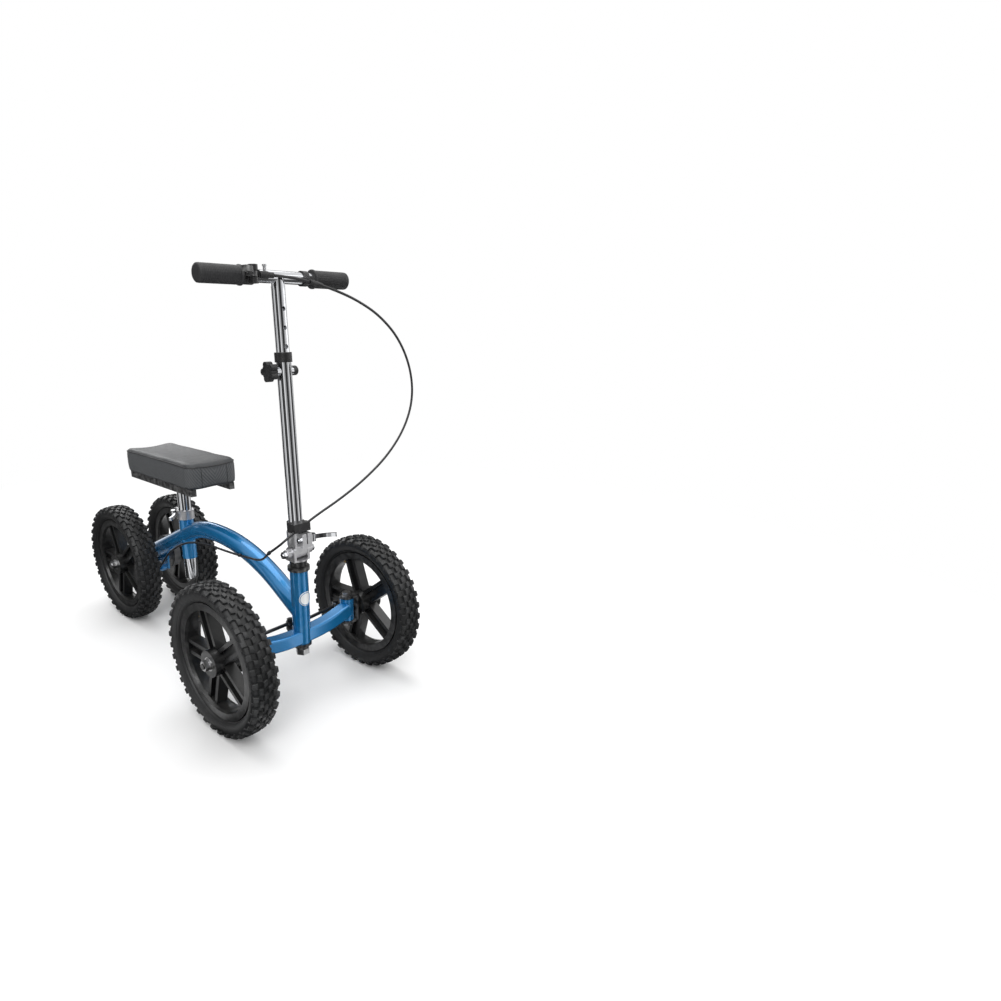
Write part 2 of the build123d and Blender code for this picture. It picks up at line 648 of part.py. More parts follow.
fold_floor_z = HEAD_TOP_Z + CUP_FLANGE_T + CAP_H + GAP
with BuildPart() as steerer:
    with BuildSketch(Plane.XY.offset(PITMAN_TOP_Z)):
        with Locations((0, HEAD_Y)):
            Circle(STEERER_D / 2)
    extrude(amount=fold_floor_z - PITMAN_TOP_Z)
    with BuildSketch(Plane.XY.offset(PITMAN_TOP_Z + 12)):
        with Locations((0, HEAD_Y)):
            Circle(STEERER_D / 2 - STEERER_WALL)
    extrude(amount=fold_floor_z - PITMAN_TOP_Z - 12, mode=Mode.SUBTRACT)
    with BuildSketch(Plane.XY.offset(pitman_z0 - STEERER_NUT_H - 2)):
        with Locations((0, HEAD_Y)):
            Circle(SPIGOT_D / 2)
    extrude(amount=PITMAN_TOP_Z - pitman_z0 + STEERER_NUT_H + 2)
save(steerer.part, "steerer")

with BuildPart() as steerer_nut:
    with BuildSketch(Plane.XY.offset(pitman_z0 - STEERER_NUT_H)):
        with Locations((0, HEAD_Y)):
            RegularPolygon(hex_radius(STEERER_NUT_AF), 6)
            Circle(SPIGOT_D / 2, mode=Mode.SUBTRACT)
    extrude(amount=STEERER_NUT_H)
save(steerer_nut.part, "steerer_nut")

# ================================================================ rear axle and drum brakes
rear_axle_end = REAR_TRACK / 2 + HUB_W / 2 + WASHER_T + NUT_H + AXLE_TAIL
with BuildPart() as rear_axle:
    with BuildSketch(face_plane(-rear_axle_end, REAR_Y)):
        Circle(AXLE_D / 2)
    extrude(amount=2 * rear_axle_end)
    for start in (plate_x1, 0.3 - hub_inner_x):
        with BuildSketch(face_plane(start, REAR_Y)):
            Circle(COLLAR_R)
        extrude(amount=hub_inner_x - 0.3 - plate_x1)
save(rear_axle.part, "rear_axle")

with BuildPart() as rear_axle_nuts:
    for side in (-1, 1):
        add(make_axle_nut(side * (REAR_TRACK + HUB_W) / 2, REAR_Y, side))
save(rear_axle_nuts.part, "rear_axle_nuts")

for hand, side in (("left", 1), ("right", -1)):
    with BuildPart() as drum:
        with BuildSketch(face_plane(side * hub_inner_x, REAR_Y)):
            Circle(DRUM_R)
            Circle(BEARING_OD / 2, mode=Mode.SUBTRACT)
        extrude(amount=-side * DRUM_WALL)
        with BuildSketch(face_plane(side * hub_inner_x, REAR_Y)):
            Circle(DRUM_R)
            Circle(DRUM_R - DRUM_WALL, mode=Mode.SUBTRACT)
        extrude(amount=-side * DRUM_W)
    save(drum.part, f"brake_drum_{hand}")

with BuildPart() as brake_plates:
    for start in (plate_x0, -plate_x1):
        with BuildSketch(face_plane(start, REAR_Y)):
            Circle(DRUM_R)
            Circle(AXLE_D / 2, mode=Mode.SUBTRACT)
            with Locations((cam_y - REAR_Y, cam_z - AXLE_Z)):
                Circle(CAM_D / 2 + RUN, mode=Mode.SUBTRACT)
        extrude(amount=PLATE_T)
save(brake_plates.part, "brake_plates")

shoe_x0 = plate_x1 + GAP
shoe_w = DRUM_W - DRUM_WALL - 3 * GAP
with BuildPart() as brake_shoes:
    for start in (shoe_x0, -shoe_x0 - shoe_w):
        with BuildSketch(face_plane(start, REAR_Y)):
            Circle(SHOE_R)
            Circle(SHOE_R - SHOE_T, mode=Mode.SUBTRACT)
            Rectangle(3 * DRUM_R, SHOE_SPLIT, rotation=CAM_ANGLE, mode=Mode.SUBTRACT)
        extrude(amount=shoe_w)
save(brake_shoes.part, "brake_shoes")

cam_half = plate_x1 + DRUM_W - DRUM_WALL - 2
with BuildPart() as brake_cam:
    with BuildSketch(Plane(origin=(-cam_half, cam_y, cam_z), x_dir=(0, 1, 0), z_dir=(1, 0, 0))):
        Circle(CAM_D / 2)
    extrude(amount=2 * cam_half)
    with BuildSketch(Plane(origin=(ARM_X, cam_y, cam_z), x_dir=arm_dir, z_dir=(1, 0, 0))):
        with Locations((ARM_LENGTH / 2, 0)):
            SlotCenterToCenter(ARM_LENGTH, 14)
        with Locations((ARM_LENGTH, 0)):
            Circle(BARREL_D / 2 + RUN, mode=Mode.SUBTRACT)
    extrude(amount=ARM_T)
    with BuildSketch(Plane(origin=(ARM_X - 3, cam_y, cam_z), x_dir=(0, 1, 0), z_dir=(1, 0, 0))):
        Circle(CAM_D / 2 + 3)
    extrude(amount=ARM_T + 3)
save(brake_cam.part, "brake_cam")

barrel_x0 = WIRE_X - 3.5
with BuildPart() as brake_barrel:
    with BuildSketch(Plane(origin=(barrel_x0, arm_end_y, arm_end_z), x_dir=(0, 1, 0), z_dir=(1, 0, 0))):
        Circle(BARREL_D / 2)
    extrude(amount=ARM_X + ARM_T + 2 - barrel_x0)
    with BuildSketch(Plane(origin=(WIRE_X, arm_end_y, arm_end_z), z_dir=wire_dir)):
        Circle(WIRE_D / 2)
    extrude(amount=WIRE_LENGTH)
save(brake_barrel.part, "brake_barrel")

# ================================================================ fold joint
lean = radians(COLUMN_LEAN)
COLUMN = Plane(origin=(0, HEAD_Y, PIVOT_Z), x_dir=(1, 0, 0), z_dir=(0, sin(lean), cos(lean)))


def column_side(x: float) -> Plane:
    """Return a plane square to X at the pivot; local x is rearward, local y up the column."""
    return Plane(origin=(x, HEAD_Y, PIVOT_Z), x_dir=COLUMN.y_dir, z_dir=(1, 0, 0))


def column_point(x: float, y: float, height: float) -> Vector:
    """Return the place at x, y rearward and height along the leaning column."""
    return COLUMN.from_local_coords((x, y, height))


floor_t = 3.5
with BuildPart() as fold_base:
    with BuildSketch(Plane.XY.offset(fold_floor_z)):
        with Locations((0, HEAD_Y)):
            Circle(FOLD_LUG_X + FOLD_LUG_T)
    extrude(amount=floor_t)
    for side in (-1, 1):
        start = side * FOLD_LUG_X
        with BuildSketch(Plane(origin=(start, HEAD_Y, PIVOT_Z), x_dir=(0, 1, 0), z_dir=(1, 0, 0))):
            Circle(FOLD_LUG_R)
            with Locations((0, (fold_floor_z - PIVOT_Z) / 2)):
                Rectangle(2 * FOLD_LUG_R, PIVOT_Z - fold_floor_z)
        extrude(amount=side * FOLD_LUG_T)
        with BuildSketch(Plane(origin=(start, HEAD_Y, PIVOT_Z), x_dir=(0, 1, 0), z_dir=(1, 0, 0))):
            Circle(FOLD_BOSS_R)
        extrude(amount=side * (FOLD_BOSS_X - FOLD_LUG_X))
    with BuildSketch(Plane(origin=(-60, HEAD_Y, PIVOT_Z), x_dir=(0, 1, 0), z_dir=(1, 0, 0))):
        Circle(FOLD_PIN_D / 2 + RUN)
    extrude(amount=120, mode=Mode.SUBTRACT)
save(fold_base.part, "fold_base")

tongue_half = FOLD_LUG_X - 0.3
tongue_r = PIVOT_Z - fold_floor_z - floor_t - GAP
with BuildPart() as fold_head:
    with BuildSketch(column_side(-tongue_half)):
        Circle(tongue_r)
        with Locations((0, FOLD_BLOCK_H0 / 2)):
            Rectangle(2 * tongue_r, FOLD_BLOCK_H0)
    extrude(amount=2 * tongue_half)
    with BuildSketch(COLUMN.offset(FOLD_BLOCK_H0)):
        Circle(FOLD_BLOCK_R)
        with Locations((0, FOLD_EAR_Y / 2)):
            Rectangle(24, -FOLD_EAR_Y + 14)
    extrude(amount=FOLD_BLOCK_H1 - FOLD_BLOCK_H0)
    with BuildSketch(COLUMN.offset(COLUMN_FOOT)):
        Circle(COLUMN_D / 2)
        with Locations((0, FOLD_EAR_Y)):
            Rectangle(3, -FOLD_EAR_Y)
    extrude(amount=FOLD_BLOCK_H1, mode=Mode.SUBTRACT)
    with BuildSketch(column_side(-60)):
        Circle(FOLD_PIN_D / 2)
        with Locations((FOLD_EAR_Y, FOLD_EAR_H)):
            Circle(SKEWER_D / 2)
    extrude(amount=120, mode=Mode.SUBTRACT)
save(fold_head.part, "fold_head")

CAM_BARREL_R = 6.5
CAM_BARREL_X = 12 + CAM_BARREL_R + 0.4
with BuildPart() as fold_bolts:
    with BuildSketch(column_side(-FOLD_BOSS_X - 9)):
        Circle(FOLD_PIN_D / 2)
    extrude(amount=2 * (FOLD_BOSS_X + 9))
    for start in (-FOLD_BOSS_X - 7.5, FOLD_BOSS_X + GAP):
        with BuildSketch(column_side(start)):
            RegularPolygon(hex_radius(13), 6)
        extrude(amount=7)
    with BuildSketch(column_side(-19)):
        with Locations((FOLD_EAR_Y, FOLD_EAR_H)):
            Circle(SKEWER_D / 2)
    extrude(amount=19 + 12.2)
    with BuildSketch(column_side(-17.5)):
        with Locations((FOLD_EAR_Y, FOLD_EAR_H)):
            RegularPolygon(hex_radius(10), 6)
    extrude(amount=5.3)
save(fold_bolts.part, "fold_bolts")


def make_cam_lever(plane: Plane, length: float, angle: float) -> Part:
    """Return a quick-release lever: an upright cam barrel and a flat curved handle.

    The plane's origin is the barrel's centre and its z the barrel's axis; the handle
    leaves it at the given angle from the plane's x.
    """
    with BuildPart() as lever:
        with BuildSketch(plane.offset(-8)):
            Circle(CAM_BARREL_R)
        extrude(amount=16)
        with BuildSketch(plane.offset(-4)):
            with BuildLine(Plane.XY.rotated((0, 0, angle))):
                handle = ThreePointArc((0, 0), (length * 0.55, length * 0.07), (length, -length * 0.05))
            trace(handle, line_width=5)
        extrude(amount=8)
    return lever.part


fold_lever_plane = Plane(
    origin=column_point(CAM_BARREL_X, FOLD_EAR_Y, FOLD_EAR_H), x_dir=(1, 0, 0), z_dir=COLUMN.z_dir
)
save(make_cam_lever(fold_lever_plane, 50, -28), "fold_lever")

# ================================================================ column
with BuildPart() as column_tube:
    with BuildSketch(COLUMN.offset(COLUMN_FOOT)):
        Circle(COLUMN_D / 2)
    extrude(amount=COLUMN_TOP - COLUMN_FOOT)
    with BuildSketch(column_side(-COLUMN_D / 2 - 6)):
        with Locations((0, KNOB_HEIGHT)):
            Circle(8)
    extrude(amount=COLUMN_D + 10)
    with BuildSketch(COLUMN.offset(COLUMN_FOOT)):
        Circle(STEM_D / 2 + SLIDE)
    extrude(amount=COLUMN_TOP - COLUMN_FOOT, mode=Mode.SUBTRACT)
    with BuildSketch(column_side(-COLUMN_D)):
        with Locations((0, KNOB_HEIGHT)):
            Circle(KNOB_SHANK_D / 2 + RUN)
    extrude(amount=COLUMN_D, mode=Mode.SUBTRACT)
save(column_tube.part, "column_tube")

with BuildPart() as column_collar:
    with BuildSketch(COLUMN.offset(COLUMN_TOP - 10)):
        Circle(COLUMN_COLLAR_D / 2)
        Circle(COLUMN_D / 2, mode=Mode.SUBTRACT)
    extrude(amount=10)
    with BuildSketch(COLUMN.offset(COLUMN_TOP)):
        Circle(COLUMN_COLLAR_D / 2)
        Circle(STEM_D / 2 + SLIDE, mode=Mode.SUBTRACT)
    extrude(amount=COLUMN_COLLAR_H - 10)
    fillet(column_collar.faces().sort_by(Axis.Z)[-1].outer_wire().edges(), 1.2)
save(column_collar.part, "column_collar")

knob_x1 = -COLUMN_D / 2 - 12
with BuildPart() as height_knob:
    with BuildSketch(column_side(knob_x1 - KNOB_T)):
        with Locations((0, KNOB_HEIGHT)):
            Circle(KNOB_R * 0.72)
            with PolarLocations(KNOB_R * 0.68, KNOB_LOBES):
                Circle(KNOB_R * 0.32)
    extrude(amount=KNOB_T)
    with BuildSketch(column_side(knob_x1)):
        with Locations((0, KNOB_HEIGHT)):
            Circle(KNOB_SHANK_D / 2)
    extrude(amount=-knob_x1 - STEM_D / 2 - SLIDE - 0.3)
save(height_knob.part, "height_knob")

with BuildPart() as height_nut:
    with BuildSketch(column_side(COLUMN_D / 2 + 4)):
        with Locations((0, KNOB_HEIGHT)):
            Circle(9)
    extrude(amount=10)
    fillet(height_nut.faces().sort_by(Axis.X)[-1].edges(), 3)
save(height_nut.part, "height_nut")

clip_cable = column_point(-4, -COLUMN_D / 2 - 4 - CABLE_D / 2, CLIP_H0 + CLIP_H / 2)
clip_dir = Vector(1, 0, 0.42).normalized()
with BuildPart() as cable_clip:
    with BuildSketch(COLUMN.offset(CLIP_H0)):
        Circle(COLUMN_D / 2 + 4)
        with Locations((-2, -COLUMN_D / 2 - 3)):
            Rectangle(40, 14)
        Circle(COLUMN_D / 2, mode=Mode.SUBTRACT)
    extrude(amount=CLIP_H)
    with BuildSketch(Plane(origin=clip_cable, z_dir=clip_dir)):
        Circle(CABLE_D / 2 + 0.8)
    extrude(amount=40, both=True, mode=Mode.SUBTRACT)
save(cable_clip.part, "cable_clip")

# ================================================================ handlebar
with BuildPart() as handlebar:
    with BuildSketch(COLUMN.offset(STEM_FOOT)):
        Circle(STEM_D / 2)
    extrude(amount=BAR_HEIGHT - STEM_FOOT)
    with BuildSketch(column_side(-BAR_HALF)):
        with Locations((0, BAR_HEIGHT)):
            Circle(BAR_D / 2)
    extrude(amount=2 * BAR_HALF)
    with BuildSketch(COLUMN.offset(STEM_FOOT)):
        Circle(STEM_D / 2 - BAR_WALL)
    extrude(amount=BAR_HEIGHT - STEM_FOOT - 6, mode=Mode.SUBTRACT)
    with BuildSketch(column_side(-BAR_HALF)):
        with Locations((0, BAR_HEIGHT)):
            Circle(BAR_D / 2 - BAR_WALL)
    extrude(amount=2 * BAR_HALF, mode=Mode.SUBTRACT)
    with BuildSketch(Plane(origin=column_point(0, 0, BAR_HEIGHT - 54), x_dir=(1, 0, 0), z_dir=-COLUMN.y_dir)):
        for step in range(STEM_HOLES):
            with Locations((0, -step * STEM_HOLE_STEP)):
                Circle(STEM_HOLE_D / 2)
    extrude(amount=STEM_D, mode=Mode.SUBTRACT)
save(handlebar.part, "handlebar")

with BuildPart() as grips:
    for side in (-1, 1):
        with BuildSketch(column_side(side * GRIP_IN)):
            with Locations((0, BAR_HEIGHT)):
                Circle(GRIP_D / 2)
        extrude(amount=side * (GRIP_OUT - GRIP_IN))
        with BuildSketch(column_side(side * GRIP_IN)):
            with Locations((0, BAR_HEIGHT)):
                Circle(BAR_D / 2)
        extrude(amount=side * (BAR_HALF - GRIP_IN), mode=Mode.SUBTRACT)
    fillet(grips.faces().sort_by(Axis.X)[-1].edges(), 4)
    fillet(grips.faces().sort_by(Axis.X)[0].edges(), 4)
save(grips.part, "grips")

perch_x0 = PERCH_X - PERCH_W / 2 + 3
barrel_y = LEVER_PIVOT_Y + 4
with BuildPart() as brake_perch:
    with BuildSketch(column_side(perch_x0)):
        with Locations((0, BAR_HEIGHT)):
            Circle(BAR_D / 2 + 4)
        with Locations((LEVER_PIVOT_Y / 2, BAR_HEIGHT)):
            Rectangle(-LEVER_PIVOT_Y, 14)
        with Locations((0, BAR_HEIGHT)):
            Circle(BAR_D / 2, mode=Mode.SUBTRACT)
    extrude(amount=PERCH_W)
    with BuildSketch(COLUMN.offset(BAR_HEIGHT - 15)):
        with Locations((PERCH_X, LEVER_PIVOT_Y)):
            Circle(8.5)
    extrude(amount=30)
    with BuildSketch(column_side(perch_x0 + PERCH_W)):
        with Locations((barrel_y, BAR_HEIGHT)):
            Circle(6.5)
    extrude(amount=18)
    with BuildSketch(column_side(perch_x0 + PERCH_W + 18)):
        with Locations((barrel_y, BAR_HEIGHT)):
            Circle(5)
    extrude(amount=12)
    with BuildSketch(COLUMN.offset(BAR_HEIGHT - 5.5)):
        with Locations((PERCH_X - 4, LEVER_PIVOT_Y - 4)):
            Rectangle(30, 26)
    extrude(amount=11, mode=Mode.SUBTRACT)
    with BuildSketch(COLUMN.offset(BAR_HEIGHT - 15)):
        with Locations((PERCH_X, LEVER_PIVOT_Y)):
            Circle(3)
    extrude(amount=30)
    with BuildSketch(column_side(perch_x0 + PERCH_W)):
        with Locations((barrel_y, BAR_HEIGHT)):
            Circle(CABLE_D / 2 + 0.3)
    extrude(amount=31, mode=Mode.SUBTRACT)
    with BuildSketch(COLUMN.offset(BAR_HEIGHT)):
        with Locations((PERCH_X + 27, barrel_y)):
            Circle(3 + RUN)
    extrude(amount=12, mode=Mode.SUBTRACT)
save(brake_perch.part, "brake_perch")

lever_pivot = column_point(PERCH_X, LEVER_PIVOT_Y, BAR_HEIGHT)
lever_out = -COLUMN.x_dir * cos(radians(LEVER_ANGLE)) - COLUMN.y_dir * sin(radians(LEVER_ANGLE))
lever_plane = Plane(origin=lever_pivot, x_dir=lever_out, z_dir=COLUMN.z_dir)
with BuildPart() as brake_lever:
    with BuildSketch(lever_plane.offset(-4.5)):
        Circle(7.5)
        with BuildLine():
            blade = Spline((0, 0), (LEVER_LENGTH * 0.3, -4), (LEVER_LENGTH * 0.7, 2), (LEVER_LENGTH, -5))
        trace(blade, line_width=10)
        Circle(3 + RUN, mode=Mode.SUBTRACT)
    extrude(amount=9)
save(brake_lever.part, "brake_lever")

with BuildPart() as lock_button:
    with BuildSketch(COLUMN.offset(BAR_HEIGHT + 4)):
        with Locations((PERCH_X + 27, barrel_y)):
            Circle(3)
    extrude(amount=10)
    with BuildSketch(COLUMN.offset(BAR_HEIGHT + 14)):
        with Locations((PERCH_X + 27, barrel_y)):
            Circle(4)
    extrude(amount=3)
save(lock_button.part, "lock_button")

# ================================================================ brake cable
# The cable is one housing in four stretches, each across at most one joint.
CABLE_R = CABLE_D / 2
UPPER_ROUTE = [
    (0, HEAD_Y, PIVOT_Z), (16, HEAD_Y - 5, PIVOT_Z + 520), (58, HEAD_Y - 8, PIVOT_Z + 513),
    (108, HEAD_Y - 9, PIVOT_Z + 503), (170, HEAD_Y - 9, PIVOT_Z + 485), (234, HEAD_Y - 9, PIVOT_Z + 456),
    (290, HEAD_Y - 10, PIVOT_Z + 410), (326, HEAD_Y - 11, PIVOT_Z + 348), (334, HEAD_Y - 12, PIVOT_Z + 282),
    (306, HEAD_Y - 14, PIVOT_Z + 220), (250, HEAD_Y - 16, PIVOT_Z + 166), (176, HEAD_Y - 18, PIVOT_Z + 124),
    (100, HEAD_Y - 19, PIVOT_Z + 93),
]
FOLD_ROUTE = [(-52, HEAD_Y - 6, PIVOT_Z + 24), (-56, HEAD_Y + 20, PIVOT_Z + 6)]
STEER_ROUTE = [
    (-56, HEAD_Y + 22, PIVOT_Z + 4.5), (-49, HEAD_Y + 48, PIVOT_Z - 15), (-38, HEAD_Y + 82, PIVOT_Z - 31),
    (-29, HEAD_Y + 127, PIVOT_Z - 41), (-25, HEAD_Y + 169, PIVOT_Z - 47),
]
FRAME_ROUTE = [
    (-25, HEAD_Y + 189, MAIN_CREST_Z - 18), (-23, HEAD_Y + 247, MAIN_CREST_Z - 23),
    (-24, HEAD_Y + 312, MAIN_CREST_Z - 24), (-29, REAR_Y - 265, MAIN_CREST_Z - 35),
    (-31, REAR_Y - 199, MAIN_CREST_Z - 63), (-30, REAR_Y - 145, MAIN_CREST_Z - 97),
    (-27, REAR_Y - 103, MAIN_CREST_Z - 134), (0, 0, 0),
]


def turn_radii(points: list[Vector]) -> list[float]:
    """Return the arc at each inner point: a little under half of its shorter run."""
    radii = []
    for before, corner, after in zip(points, points[1:], points[2:]):
        run_in = corner - before
        run_out = after - corner
        half_turn = radians(run_in.get_angle(run_out)) / 2
        radii.append(0.45 * min(run_in.length, run_out.length) / tan(half_turn))
    return radii


def make_cable(route: list[tuple[float, float, float]], name: str) -> None:
    """Build one stretch of the housing as straight runs and tangent arcs, and save it."""
    points = [Vector(*point) for point in route]
    radii = turn_radii(points)
    with BuildPart() as cable:
        with BuildLine():
            path = FilletPolyline(*points, radius=radii)
        with BuildSketch(Plane(origin=path @ 0, z_dir=path % 0)):
            Circle(CABLE_R)
        sweep(path=path)
    length = path.length
    share = cable.part.volume / (length * 3.14159265 * CABLE_R**2)
    print(name, "length", round(length, 1), "tightest arc", round(min(radii), 1), "volume share", round(share, 3))
    save(cable.part, name)


stop_entry = Vector(WIRE_X, stop_y, stop_z) + Vector(*wire_dir) * (STOP_LONG / 2 + 0.5)
FRAME_ROUTE[-1] = tuple(stop_entry)
UPPER_ROUTE[0] = tuple(column_point(perch_x0 + PERCH_W + 30.5, barrel_y, BAR_HEIGHT))
UPPER_ROUTE.append(tuple(clip_cable + clip_dir * 40))
UPPER_ROUTE.append(tuple(clip_cable + clip_dir * 0.3))
FOLD_ROUTE.insert(0, tuple(clip_cable - clip_dir * 26))
FOLD_ROUTE.insert(0, tuple(clip_cable - clip_dir * 0.3))
make_cable(UPPER_ROUTE, "cable_upper")
make_cable(FOLD_ROUTE, "cable_fold")
make_cable(STEER_ROUTE, "cable_steer")
make_cable(FRAME_ROUTE, "cable_frame")

guide_start = Vector(*UPPER_ROUTE[2])
guide_dir = (Vector(*UPPER_ROUTE[3]) - guide_start).normalized()
with BuildPart() as cable_guide:
    with BuildSketch(Plane(origin=guide_start - guide_dir * 6, z_dir=guide_dir)):
        Circle(GUIDE_R)
    extrude(amount=GUIDE_L)
    with BuildSketch(Plane(origin=guide_start + guide_dir * (GUIDE_L - 6), z_dir=guide_dir)):
        Circle(GUIDE_R)
    extrude(amount=10, taper=5)
    with BuildSketch(column_side(guide_start.X - 5)):
        with Locations((0, BAR_HEIGHT)):
            Circle(BAR_D / 2 + 2.5)
        with Locations((-14, BAR_HEIGHT - 2)):
            Rectangle(26, 9)
        with Locations((0, BAR_HEIGHT)):
            Circle(BAR_D / 2, mode=Mode.SUBTRACT)
    extrude(amount=12)
    with BuildSketch(Plane(origin=guide_start - guide_dir * 12, z_dir=guide_dir)):
        Circle(CABLE_R + 0.6)
    extrude(amount=60, mode=Mode.SUBTRACT)
save(cable_guide.part, "cable_guide")

# ================================================================ seat
post_top = PAD_Z0 - BASE_T
with BuildPart() as seat_post:
    with BuildSketch(Plane.XY.offset(POST_BOTTOM_Z)):
        with Locations((0, SEAT_Y)):
            Circle(POST_D / 2)
            Circle(POST_D / 2 - POST_WALL, mode=Mode.SUBTRACT)
    extrude(amount=post_top - POST_BOTTOM_Z)
    with BuildSketch(Plane.XY.offset(post_top - 6)):
        with Locations((0, SEAT_Y)):
            Circle(32)
    extrude(amount=6)
save(seat_post.part, "seat_post")

clamp_z = SEAT_TUBE_Z1 + CLAMP_H / 2
with BuildPart() as seat_clamp:
    with BuildSketch(Plane.XY.offset(SEAT_TUBE_Z1)):
        with Locations((0, SEAT_Y)):
            Circle(CLAMP_R)
        with Locations((0, SEAT_Y + CLAMP_EAR_Y / 2 + 4)):
            Rectangle(20, CLAMP_EAR_Y + 8)
        with Locations((0, SEAT_Y)):
            Circle(POST_D / 2 + SLIDE, mode=Mode.SUBTRACT)
        with Locations((0, SEAT_Y + CLAMP_EAR_Y)):
            Rectangle(3, CLAMP_EAR_Y, mode=Mode.SUBTRACT)
    extrude(amount=CLAMP_H)
    with BuildSketch(Plane(origin=(-19, SEAT_Y + CLAMP_EAR_Y, clamp_z), x_dir=(0, 1, 0), z_dir=(1, 0, 0))):
        Circle(SKEWER_D / 2)
    extrude(amount=38)
    with BuildSketch(Plane(origin=(10, SEAT_Y + CLAMP_EAR_Y, clamp_z), x_dir=(0, 1, 0), z_dir=(1, 0, 0))):
        Circle(8)
    extrude(amount=10)
    with BuildSketch(Plane(origin=(-30, SEAT_Y + CLAMP_EAR_Y, clamp_z), x_dir=(0, 1, 0), z_dir=(1, 0, 0))):
        Circle(9.5)
    extrude(amount=19.7, mode=Mode.SUBTRACT)
save(seat_clamp.part, "seat_clamp")

seat_cam_x = -(10 + CAM_BARREL_R + 0.4)
seat_lever_plane = Plane(origin=(seat_cam_x, SEAT_Y + CLAMP_EAR_Y, clamp_z), x_dir=(0, -1, 0), z_dir=(0, 0, 1))
save(make_cam_lever(seat_lever_plane, 56, -35), "seat_lever")

with BuildPart() as pad_base:
    with BuildSketch(Plane.XY.offset(post_top)):
        with Locations((0, PAD_Y)):
            RectangleRounded(2 * RAIL_X - RAIL_W, RAIL_L - 60, 10)
    extrude(amount=BASE_T)
    with BuildSketch(Plane.XY.offset(PAD_Z0 - RAIL_H)):
        with Locations((RAIL_X, PAD_Y), (-RAIL_X, PAD_Y)):
            Rectangle(RAIL_W, RAIL_L)
    extrude(amount=RAIL_H)
save(pad_base.part, "pad_base")

with BuildPart() as knee_pad:
    with BuildSketch(Plane.XY.offset(PAD_Z0)):
        with Locations((0, PAD_Y)):
            RectangleRounded(PAD_W, PAD_L, PAD_CORNER_R)
    extrude(amount=PAD_H)
    fillet(knee_pad.faces().sort_by(Axis.Z)[-1].edges(), 6)
save(knee_pad.part, "knee_pad")
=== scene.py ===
"""Looks of a four-wheeled knee scooter: finishes, knobbly tyres, padded knee rest, grips and cable."""

import logging
from dataclasses import dataclass, field
from enum import Enum
from math import atan2, cos, hypot, pi, radians, sin
from typing import Callable, Iterable, Sequence

import bmesh
import bpy
from mathutils import Euler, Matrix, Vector
from mathutils.bvhtree import BVHTree


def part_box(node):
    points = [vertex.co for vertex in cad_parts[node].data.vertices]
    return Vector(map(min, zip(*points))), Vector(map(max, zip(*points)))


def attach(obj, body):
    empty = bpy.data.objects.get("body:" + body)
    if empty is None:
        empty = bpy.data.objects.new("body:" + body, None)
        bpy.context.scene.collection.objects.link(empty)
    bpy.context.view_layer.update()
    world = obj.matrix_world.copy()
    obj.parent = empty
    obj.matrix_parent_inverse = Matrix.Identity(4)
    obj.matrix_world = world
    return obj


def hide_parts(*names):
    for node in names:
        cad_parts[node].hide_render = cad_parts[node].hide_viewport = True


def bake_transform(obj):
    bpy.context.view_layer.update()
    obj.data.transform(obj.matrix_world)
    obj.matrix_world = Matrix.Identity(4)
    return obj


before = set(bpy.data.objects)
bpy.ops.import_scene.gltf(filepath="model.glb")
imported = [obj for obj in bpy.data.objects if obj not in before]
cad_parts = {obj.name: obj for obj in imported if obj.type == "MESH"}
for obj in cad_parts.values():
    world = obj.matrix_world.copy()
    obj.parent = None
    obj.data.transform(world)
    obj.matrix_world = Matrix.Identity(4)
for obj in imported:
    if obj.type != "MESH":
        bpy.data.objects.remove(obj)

LOG = logging.getLogger("knee_scooter")
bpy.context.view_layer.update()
MM = 0.001

Colour = tuple[float, float, float]
Point = tuple[float, float, float]


class Slot(Enum):
    """The record's material slots; no piece in this script takes its finish from them."""

    TYRE = "tyre_rubber"
    GRIP = "grip_rubber"
    PAD = "pad_vinyl"
    CABLE = "cable_housing"
    PLASTIC = "black_plastic"
    ZINC = "zinc_steel"
    FRAME = "frame_blue"


class Effect(Enum):
    """Shader effects shared by several finishes."""

    EDGE_WEAR = "edge wear"
    GRAIN = "fine grain"
    DUST = "settled dust"
    SMUDGE = "handling smudges"
    TWILL = "diagonal twill"


